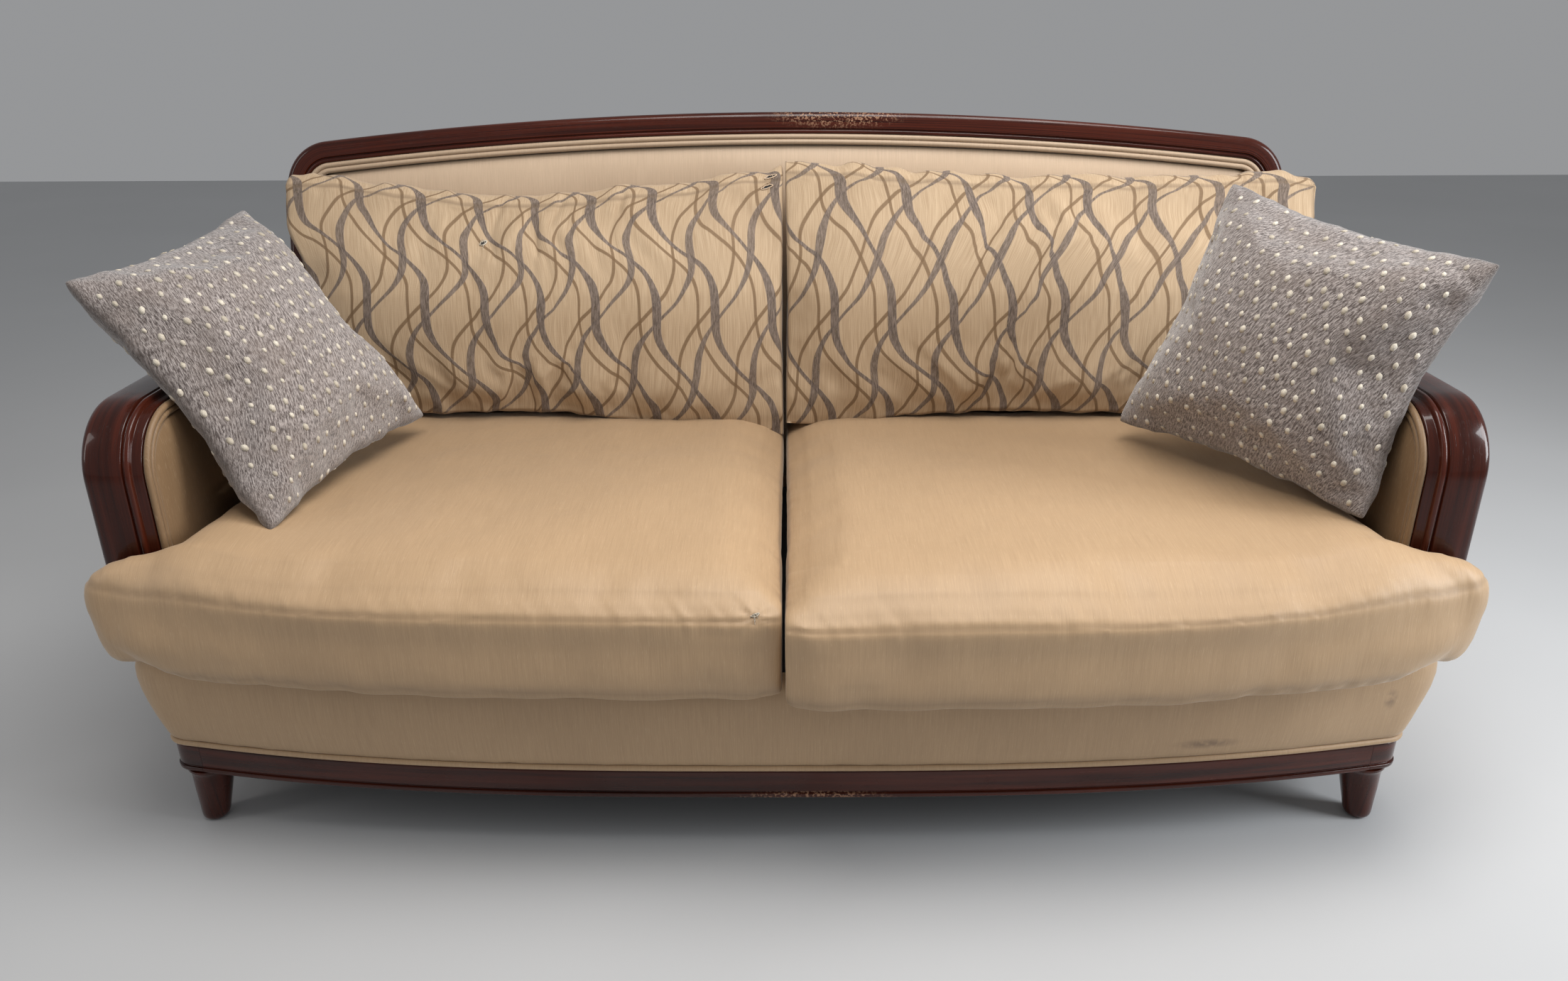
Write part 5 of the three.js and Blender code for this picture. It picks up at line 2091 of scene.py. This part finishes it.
@dataclass(frozen=True)
class BackCushion:
    """A loose back cushion in figured cloth, standing on the seat and leaning back."""

    side: str
    sign: float
    outer: float
    inner: float
    ear: float
    top: tuple[float, ...]
    phase: Point2
    finish: Finish
    droop: float = 0.012
    pleats: tuple[tuple[float, float, float, float], ...] = ()
    overlap: float = 0.016
    gap: float = 0.0016
    foot: float = low("back_cushion_left").z
    height: float = 0.372
    counts: tuple[int, int, int] = (92, 13, 46)

    def axis(self, z: np.ndarray) -> np.ndarray:
        """Depth of the cushion's middle at each height."""
        heights = (0.484, 0.520, 0.600, 0.700, 0.790, 0.858, 0.900)
        depths = (0.262, 0.267, 0.279, 0.298, 0.325, 0.351, 0.366)
        return np.interp(z, heights, depths)

    def build(self) -> bpy.types.Object:
        """Swells the cover, gathers its seams and leans it back."""
        slab = Slab(*self.counts)
        u, v, w = slab.lattice.T
        width = abs(self.outer - self.inner) - 0.030
        size = (width, 0.145, self.height)
        rise = (w + 1.0) / 2.0
        deep = 0.072 - 0.044 * ease(rise, 0.45, 1.0) - 0.010 * ease(-rise, -0.15, 0.0)
        deep = deep * (1.0 - 0.16 * np.abs(u) ** 12)
        x = u * width / 2.0 * (1.0 - 0.012 * np.cos(w * math.pi / 2.0))
        shoulder = 0.012 * ease(rise, 0.92, 1.0) * v**2
        rest = np.stack([x, v * deep, rise * self.height - shoulder], axis=1)
        piece = new_piece(f"back_cover_{self.side}", rest, slab.faces, self.finish)
        slab.cloth_map(piece.data, size)
        self.shift_cloth(piece.data)
        faces_seam = (np.abs(v) > 0.999) & ((np.abs(u) > 0.999) | (np.abs(w) > 0.999))
        end_seam = (np.abs(u) > 0.999) & (np.abs(w) > 0.999)
        seam = (faces_seam | end_seam).astype(float)
        run = (x + rest[:, 2]) * 210.0
        gather = seam * (0.5 + 0.5 * np.sign(np.sin(run)))
        # Painted shade along the boxing seams; the same weights also gather the seams.
        store(piece.data, "seam", seam)
        Stuffing(pressure=4.0, cap=0.030, seam_shrink=0.22, stiffness=12.0).swell(piece, gather)
        subdivide(piece)
        self.gather_seams(piece)
        self.lean_back(piece)
        settle(piece, Slot.WAVY, f"back_cushion_{self.side}", fill=0.75)
        return piece

    def shift_cloth(self, mesh: bpy.types.Mesh) -> None:
        """Moves the figure of the cloth over the cushion."""
        layer = mesh.uv_layers["cloth"]
        values = np.zeros(len(layer.data) * 2, np.float32)
        layer.data.foreach_get("uv", values)
        values = values.reshape(-1, 2) + np.array(self.phase, np.float32)
        layer.data.foreach_set("uv", values.ravel())

    def gather_seams(self, piece: bpy.types.Object) -> None:
        """Long puckers that run in from the seams, and a groove along them."""
        points, facing = positions(piece.data), normals(piece.data)
        seam = stored(piece.data, "seam")
        centre = np.array((0.0, 0.0, self.height / 2.0))
        lowest, highest = points.min(axis=0), points.max(axis=0)
        to_side = np.minimum(points[:, 0] - lowest[0], highest[0] - points[:, 0])
        to_end = np.minimum(points[:, 2] - lowest[2], highest[2] - points[:, 2])
        upper = np.exp(-to_end / 0.030)
        ends = np.exp(-to_side / 0.026)
        across = points * (1.0, 0.25, 0.12) + centre * self.sign
        along = points * (0.12, 0.25, 1.0)
        move = 0.0072 * upper * fractal(across, 21.0, 3.0, 2) * (1.0 - 0.6 * seam)
        move = move + 0.0032 * ends * fractal(along, 19.0, 6.0, 2) * (1.0 - seam)
        x, y, z = points.T
        slant = np.stack([x + z * 0.5, y * 0.2, z * 0.2], axis=1)
        move = move + 0.0030 * np.exp(-to_end / 0.07) * fractal(slant, 10.0, 12.0, 2)
        move = move + 0.0028 * fractal(points, 5.0, 21.0, 2) - 0.0022 * seam**2
        for at, down, slope, depth in self.pleats:
            off = points[:, 0] - at - slope * (points[:, 2] - down)
            reach = np.exp(-(((points[:, 2] - down) / 0.030) ** 2)) * ease(-facing[:, 1], 0.2, 0.7)
            move = move - depth * hump(off, 0.0055) * reach
        push(piece, move)

    def lean_back(self, piece: bpy.types.Object) -> None:
        """Bends the cushion from its own frame on to the seat and the back."""
        points = positions(piece.data)
        lowest, highest = points.min(axis=0), points.max(axis=0)
        share = (points[:, 0] - lowest[0]) / (highest[0] - lowest[0])
        if self.sign > 0.0:
            share = 1.0 - share
        rise = (points[:, 2] - lowest[2]) / (highest[2] - lowest[2])
        rise = np.maximum(rise - 0.035 * (1.0 - rise), 0.0)
        points[:, 1] *= 1.0 + 0.16 * ease(-rise, -0.35, -0.05)
        tops = np.interp(share, np.linspace(0.0, 1.0, len(self.top)), self.top)
        drop = self.droop * ease(share, 0.45, 1.0)
        flat = points[:, 0] * 0.0
        lumps = fractal(np.stack([points[:, 0], flat, flat], axis=1), 16.0, 8.0, 2)
        tops = tops + 0.0045 * lumps * self.sign
        z = self.foot - 0.004 - drop + rise * (tops - self.foot + 0.004 + drop)
        over_arm = ease(z, LAYOUT.arm_top + 0.055, LAYOUT.arm_top + 0.150)
        outer = self.outer + self.sign * self.ear * over_arm
        meeting = self.inner - self.sign * self.overlap
        x = outer + (meeting - outer) * share
        x = -self.sign * pressed(-self.sign * x, -self.gap, 0.004)
        y = self.axis(z) + points[:, 1]
        limit = LAYOUT.rear_of_arm(0.0) + z * math.tan(LAYOUT.rake) - 0.0025
        y = limit + pressed(y - limit, 0.0, 0.004)
        set_positions(piece.data, np.stack([x, y, z], axis=1))


@dataclass(frozen=True)
class ThrowPillow:
    """A square pillow with raised cream dots, leaning in a corner of the sofa."""

    workshop: Workshop
    side: str
    corners: tuple[Point3, Point3, Point3, Point3]
    fold: tuple[float, float, float]
    thickness: float = 0.125
    front_share: float = 0.64
    steps: int = 46

    def sheet(self, u: np.ndarray, v: np.ndarray) -> np.ndarray:
        """Points of the pillow's middle sheet, u and v from -1 to 1."""
        a, b, c, d = (np.array(corner) * MM for corner in self.corners)
        s, t = ((u + 1.0) / 2.0)[:, None], ((v + 1.0) / 2.0)[:, None]
        return (a * (1.0 - s) + b * s) * (1.0 - t) + (d * (1.0 - s) + c * s) * t

    def frame_axes(self) -> tuple[Vector, Vector, Vector]:
        """Directions across, up and out of the front of the pillow."""
        a, b, c, d = (Vector(corner) for corner in self.corners)
        across, up = (b - a + c - d).normalized(), (d - a + c - b).normalized()
        return across, up, across.cross(up).normalized()

    def build(self) -> None:
        """Swells the cover, leans it in its corner and sets the dots on it."""
        slab = Slab(self.steps, 1, self.steps)
        u0, v0, w0 = slab.lattice.T
        a, b, _, d = (Vector(corner) * MM for corner in self.corners)
        wide, tall = (b - a).length, (d - a).length
        u = np.sin(u0 * math.pi / 2.0) * 0.35 + u0 * 0.65
        w = np.sin(w0 * math.pi / 2.0) * 0.35 + w0 * 0.65
        blunt = 1.0 - 0.045 * (np.abs(u) * np.abs(w)) ** 4
        drawn_u, drawn_w = 1.0 - 0.060 * (1.0 - w * w), 1.0 - 0.060 * (1.0 - u * u)
        swell = self.thickness * 0.40 * ((1.0 - u * u) * (1.0 - w * w)) ** 0.45
        place_u, place_w = u * wide / 2.0 * blunt * drawn_u, w * tall / 2.0 * blunt * drawn_w
        rest = np.stack([place_u, v0 * (0.0022 + swell), place_w], axis=1)
        piece = new_piece(f"pillow_{self.side}", rest, slab.faces, PillowPile())
        slab.cloth_map(piece.data, (wide, 0.004, tall))
        rim = ((np.abs(u0) > 0.999) | (np.abs(w0) > 0.999)).astype(float)
        # Painted shade along the rim seam; the same weights also gather it.
        store(piece.data, "seam", rim)
        Stuffing(pressure=5.0, cap=0.030, seam_shrink=0.06, stiffness=10.0).swell(piece, rim)
        subdivide(piece)
        self.crease(piece)
        self.lean_in_corner(piece)
        settle(piece, Slot.PILLOW, f"throw_pillow_{self.side}", fill=0.7)
        self.dots(piece, wide, tall)

    def crease(self, piece: bpy.types.Object) -> None:
        """Puckers along the rim and slow dents over the faces."""
        points = positions(piece.data)
        lowest, highest = points.min(axis=0), points.max(axis=0)
        rim = np.minimum(
            np.minimum(points[:, 0] - lowest[0], highest[0] - points[:, 0]),
            np.minimum(points[:, 2] - lowest[2], highest[2] - points[:, 2]),
        )
        x, y, z = points.T
        run = np.stack([x + z, y * 0.2, z * 0.0], axis=1)
        move = 0.0058 * np.exp(-rim / 0.022) * fractal(run, 30.0, 5.0, 2) * ease(rim, 0.0, 0.008)
        move = move + 0.0052 * fractal(points, 6.0, 9.0, 2) * ease(rim, 0.01, 0.08)
        push(piece, move)

    def lean_in_corner(self, piece: bpy.types.Object) -> None:
        """Carries the pillow from its own frame to its corners, with a fold at a lower corner."""
        points = positions(piece.data)
        lowest, highest = points.min(axis=0), points.max(axis=0)
        half = np.maximum(highest, -lowest) / 1.03
        u, v = points[:, 0] / half[0], points[:, 2] / half[2]
        _, _, out = self.frame_axes()
        dome = ((1 - u**2) * (1 - v**2)).clip(0.0)
        shift = -points[:, 1] + (self.front_share - 0.5) * self.thickness * dome
        fold_u, fold_v, depth = self.fold
        bend = np.exp(-(((u - fold_u) / 0.30) ** 2 + ((v - fold_v) / 0.22) ** 2))
        shift = shift - depth * bend
        placed = self.sheet(u, v) + np.array(out) * shift[:, None]
        set_positions(piece.data, placed)
        turn_outwards(piece)

    def dots(self, piece: bpy.types.Object, wide: float, tall: float) -> None:
        """Raised oval tufts in staggered rows on both faces."""
        tree = surface(piece)
        _, up, out = self.frame_axes()
        jitter = np.random.default_rng(31 + len(self.side))
        places, lies, ways = [], [], []
        rows, columns = int(tall / 0.0225), int(wide / 0.0265)
        for face in (1.0, -1.0):
            for row in range(rows):
                for column in range(columns):
                    offset = 0.5 * (row % 2)
                    u = ((column + 0.25 + offset + jitter.normal(0.0, 0.09)) / columns) * 2.0 - 1.0
                    v = ((row + 0.5 + jitter.normal(0.0, 0.09)) / rows) * 2.0 - 1.0
                    if max(abs(u), abs(v)) > 0.95:
                        continue
                    sheet = self.sheet(np.array([u]), np.array([v]))[0]
                    hit, normal, _, _ = tree.ray_cast(Vector(sheet) + out * face * 0.3, -out * face)
                    if hit is None or normal is None:
                        continue
                    normal = normal if normal.dot(out) * face > 0.0 else -normal
                    places.append(tuple(hit))
                    lies.append(tuple(normal))
                    tilt = Vector((jitter.normal(0.0, 0.2), 0.0, jitter.normal(0.0, 0.2)))
                    ways.append(tuple(Vector(up) + tilt))
        tuft = oval_tuft("tuft", 0.0060, 0.0043, 0.0018)
        dots = self.workshop.scatter(
            f"pillow_dots_{self.side}",
            np.array(places),
            np.array(lies),
            np.array(ways),
            tuft,
            (0.72, 1.18),
            CreamTuft(),
            seed=5 + len(self.side),
        )
        settle(dots, Slot.PILLOW)


@dataclass(frozen=True)
class Tear:
    """A short open split in a cover, with a rolled rim and loose threads."""

    name: str
    ends: tuple[Point2, Point2]
    width: float
    threads: int
    slot: Slot
    rim: Finish
    steps: int = 12

    def open_in(self, cover: bpy.types.Object, workshop: Workshop) -> None:
        """Lays the split on a cover.

        Args:
            cover: The finished cushion.
            workshop: Runs the swept cords.
        """
        tree = surface(cover)
        jitter = np.random.default_rng(61 + self.threads)
        (first_x, first_z), (last_x, last_z) = self.ends
        way = Vector((last_x - first_x, 0.0, last_z - first_z)).normalized()
        spots: list[Vector] = []
        out = Vector((0.0, 0.0, 0.0))
        for k in range(self.steps + 1):
            share = k / self.steps
            x = first_x + (last_x - first_x) * share
            z = first_z + (last_z - first_z) * share
            hit, normal, _, _ = tree.ray_cast(Vector((x, -1.0, z)), Vector((0.0, 1.0, 0.0)))
            if hit is None or normal is None:
                continue
            spots.append(hit)
            out += normal if normal.y < 0.0 else -normal
        if len(spots) < 4:
            LOG.warning("%s: no cloth below it", self.name)
            return
        out.normalize()
        beside = out.cross(way).normalized()
        upper, lower = [], []
        for k, spot in enumerate(spots):
            half = self.width / 2.0 * math.sin(math.pi * (k + 0.3) / (len(spots) - 0.4)) ** 0.6
            ragged = half * (1.0 + 0.25 * float(jitter.normal()))
            upper.append(spot + beside * ragged + out * 0.0007)
            lower.append(spot - beside * half + out * 0.0007)
        row = len(spots)
        faces = [[k, k + 1, row + k + 1, row + k] for k in range(row - 1)]
        # Painted shade: a black sheet laid flat in the split stands for the shade inside it.
        inside = new_piece(f"{self.name}_dark", np.array([*upper, *lower]), faces, LINING)
        settle(inside, Slot.LINING)
        loop = [p + out * 0.0003 for p in [*upper, *reversed(lower)]]
        turns = [2.0 * math.pi * k / 8 for k in range(8)]
        section = [(0.0010 * math.cos(a), 0.0010 * math.sin(a)) for a in turns]
        name, facing = f"{self.name}_edge", tuple(out)
        cords = [workshop.moulding(name, loop, section, facing, self.rim, closed=True)]
        for k in range(self.threads):
            start = loop[int(jitter.integers(0, len(loop)))]
            side = beside * float(jitter.normal()) + way * float(jitter.normal(0.0, 0.8))
            long = float(jitter.uniform(0.006, 0.014))
            path = []
            for step in range(7):
                share = step / 6
                path.append(start + side * long * share * 0.6 + out * 0.002 * math.sin(share * 2.6))
                path[-1] = path[-1] + Vector((0.0, 0.0, -0.4 * long * share**2))
            thin = [(a * 0.35, b * 0.35) for a, b in section]
            name = f"{self.name}_thread_{k}"
            cords.append(workshop.moulding(name, path, thin, facing, self.rim))
        settle(joined(cords, f"{self.name}_frayed"), self.slot)


def oval_tuft(name: str, long: float, wide: float, tall: float) -> bpy.types.Object:
    """A small flattened oval bump, half sunk in the cloth."""
    work = bmesh.new()
    bmesh.ops.create_icosphere(work, subdivisions=1, radius=1.0)
    for vertex in work.verts:
        x, y, z = vertex.co
        ridge = 1.0 + 0.12 * math.sin(x * 9.0)
        vertex.co = Vector((x * long, y * wide, z * tall * ridge))
    mesh = bpy.data.meshes.new(name)
    work.to_mesh(mesh)
    work.free()
    piece = bpy.data.objects.new(name, mesh)
    bpy.context.scene.collection.objects.link(piece)
    return piece


# ---- Studio ----


@dataclass(frozen=True)
class SoftLight:
    """One rectangular studio light."""

    name: str
    place: Point3
    target: Point3
    size: Point2
    power: float
    colour: Colour

    def build(self) -> None:
        """Hangs the light and turns it to its target."""
        lamp = bpy.data.lights.new(self.name, "AREA")
        lamp.shape = "RECTANGLE"
        lamp.size, lamp.size_y = self.size
        lamp.energy = self.power
        lamp.color = self.colour
        made = bpy.data.objects.new(self.name, lamp)
        made.location = self.place
        way = Vector(self.target) - Vector(self.place)
        made.rotation_euler = way.to_track_quat("-Z", "Y").to_euler()
        bpy.context.scene.collection.objects.link(made)


@dataclass(frozen=True)
class Studio:
    """Camera, soft lights, pale surroundings and floor."""

    eye: Point3 = (0.009, -1.755, 1.150)
    pitch: float = math.radians(23.0)
    yaw: float = math.radians(0.33)
    roll: float = math.radians(-0.30)
    lens: float = 26.6
    rise: float = 0.0059
    surround: Colour = (0.80, 0.81, 0.83)
    lights: tuple[SoftLight, ...] = (
        SoftLight(
            "overhead", (0.4, -0.5, 2.8), (0.1, -0.15, 0.4), (2.4, 1.1), 66.0, (1.0, 0.97, 0.94)
        ),
        SoftLight(
            "window_right", (2.7, -0.9, 1.5), (0.3, 0.1, 0.6), (0.9, 1.6), 56.0, (0.93, 0.965, 1.0)
        ),
        SoftLight(
            "window_left", (-2.9, -1.2, 1.7), (-0.3, 0.0, 0.5), (0.5, 1.6), 8.0, (1.0, 0.97, 0.94)
        ),
    )

    def build(self) -> None:
        """Sets up everything round the sofa."""
        self.camera()
        for light in self.lights:
            light.build()
        self.world()
        self.floor()
        bpy.context.scene.view_settings.view_transform = "Standard"

    def camera(self) -> None:
        """Camera in front of the sofa, looking a little down."""
        data = bpy.data.cameras.new("view")
        data.lens = self.lens
        data.sensor_width = 36.0
        data.shift_y = self.rise
        made = bpy.data.objects.new("view", data)
        tilt = Matrix.Rotation(math.pi / 2.0 - self.pitch, 4, "X")
        turn = Matrix.Rotation(self.yaw, 4, "Z") @ tilt
        made.matrix_world = Matrix.Translation(self.eye) @ turn @ Matrix.Rotation(self.roll, 4, "Z")
        bpy.context.scene.collection.objects.link(made)
        bpy.context.scene.camera = made

    def world(self) -> None:
        """Even pale surroundings."""
        world = bpy.data.worlds.new("pale_room")
        bpy.context.scene.world = world
        world.use_nodes = True
        back = world.node_tree.nodes["Background"]
        back.inputs["Color"].default_value = (*self.surround, 1.0)
        back.inputs["Strength"].default_value = 0.38

    def floor(self) -> None:
        """Wide pale floor."""
        reach, cells = 7.0, 8
        ticks = np.linspace(-reach, reach, cells + 1)
        points = np.array([(x, y, 0.0) for y in ticks for x in ticks])
        row = cells + 1
        faces = [
            [j * row + k, j * row + k + 1, (j + 1) * row + k + 1, (j + 1) * row + k]
            for j in range(cells)
            for k in range(cells)
        ]
        new_piece("studio_floor", points, faces, PaleFloor())


# ---- The whole sofa ----


@dataclass(frozen=True)
class Sofa:
    """The two-seat sofa with its show-wood frame."""

    workshop: Workshop = field(default_factory=Workshop)

    def build(self) -> None:
        """Makes every sub-assembly in order."""
        Base(self.workshop).build()
        for side, sign in (("left", -1.0), ("right", 1.0)):
            Arm(self.workshop, side, sign).build()
        BackFrame(self.workshop).build()
        left_seat = SeatCushion("left", -1.0, 0.0).build()
        SeatCushion("right", 1.0, 0.024).build()
        left_back = BackCushion(
            side="left",
            sign=-1.0,
            outer=-0.842,
            inner=-0.006,
            ear=0.036,
            top=(0.886, 0.884, 0.874, 0.868, 0.868, 0.872, 0.880, 0.893, 0.893),
            phase=(0.0, 0.0),
            droop=0.036,
            pleats=(
                (-0.055, 0.325, 0.35, 0.006),
                (0.035, 0.33, 0.45, 0.005),
                (0.13, 0.34, 0.3, 0.004),
            ),
            finish=WavyJacquard(name="wavy_jacquard_left"),
        ).build()
        BackCushion(
            side="right",
            sign=1.0,
            outer=0.842,
            inner=0.008,
            ear=0.092,
            top=(0.876, 0.884, 0.888, 0.890, 0.892, 0.894, 0.896, 0.904, 0.902),
            phase=(0.03, 0.02),
            finish=WavyJacquard(name="wavy_jacquard_right"),
        ).build()
        pale, tan = CreamTuft(), SATIN_PANEL
        snag = Tear("seat_snag", ((-0.041, 0.439), (-0.031, 0.442)), 0.0028, 5, Slot.TAN, pale)
        snag.open_in(left_seat, self.workshop)
        for tear in (
            Tear("split_upper", ((-0.034, 0.874), (-0.013, 0.880)), 0.0062, 3, Slot.WAVY, tan),
            Tear("split_lower", ((-0.040, 0.858), (-0.020, 0.864)), 0.0050, 2, Slot.WAVY, tan),
            Tear("worn_hole", ((-0.527, 0.775), (-0.516, 0.779)), 0.0078, 9, Slot.WAVY, pale),
        ):
            tear.open_in(left_back, self.workshop)
        ThrowPillow(
            workshop=self.workshop,
            side="left",
            corners=((-714, -287, 490), (-619, 111, 519), (-865, 129, 851), (-957, -214, 812)),
            fold=(-0.78, -0.62, 0.012),
        ).build()
        ThrowPillow(
            workshop=self.workshop,
            side="right",
            corners=((563, 72, 519), (798, -285, 502), (921, -253, 836), (706, 104, 887)),
            fold=(0.78, -0.72, 0.010),
        ).build()


def main() -> None:
    """Builds the sofa and its studio."""
    Sofa().build()
    Studio().build()


if __name__ == "__main__":
    main()
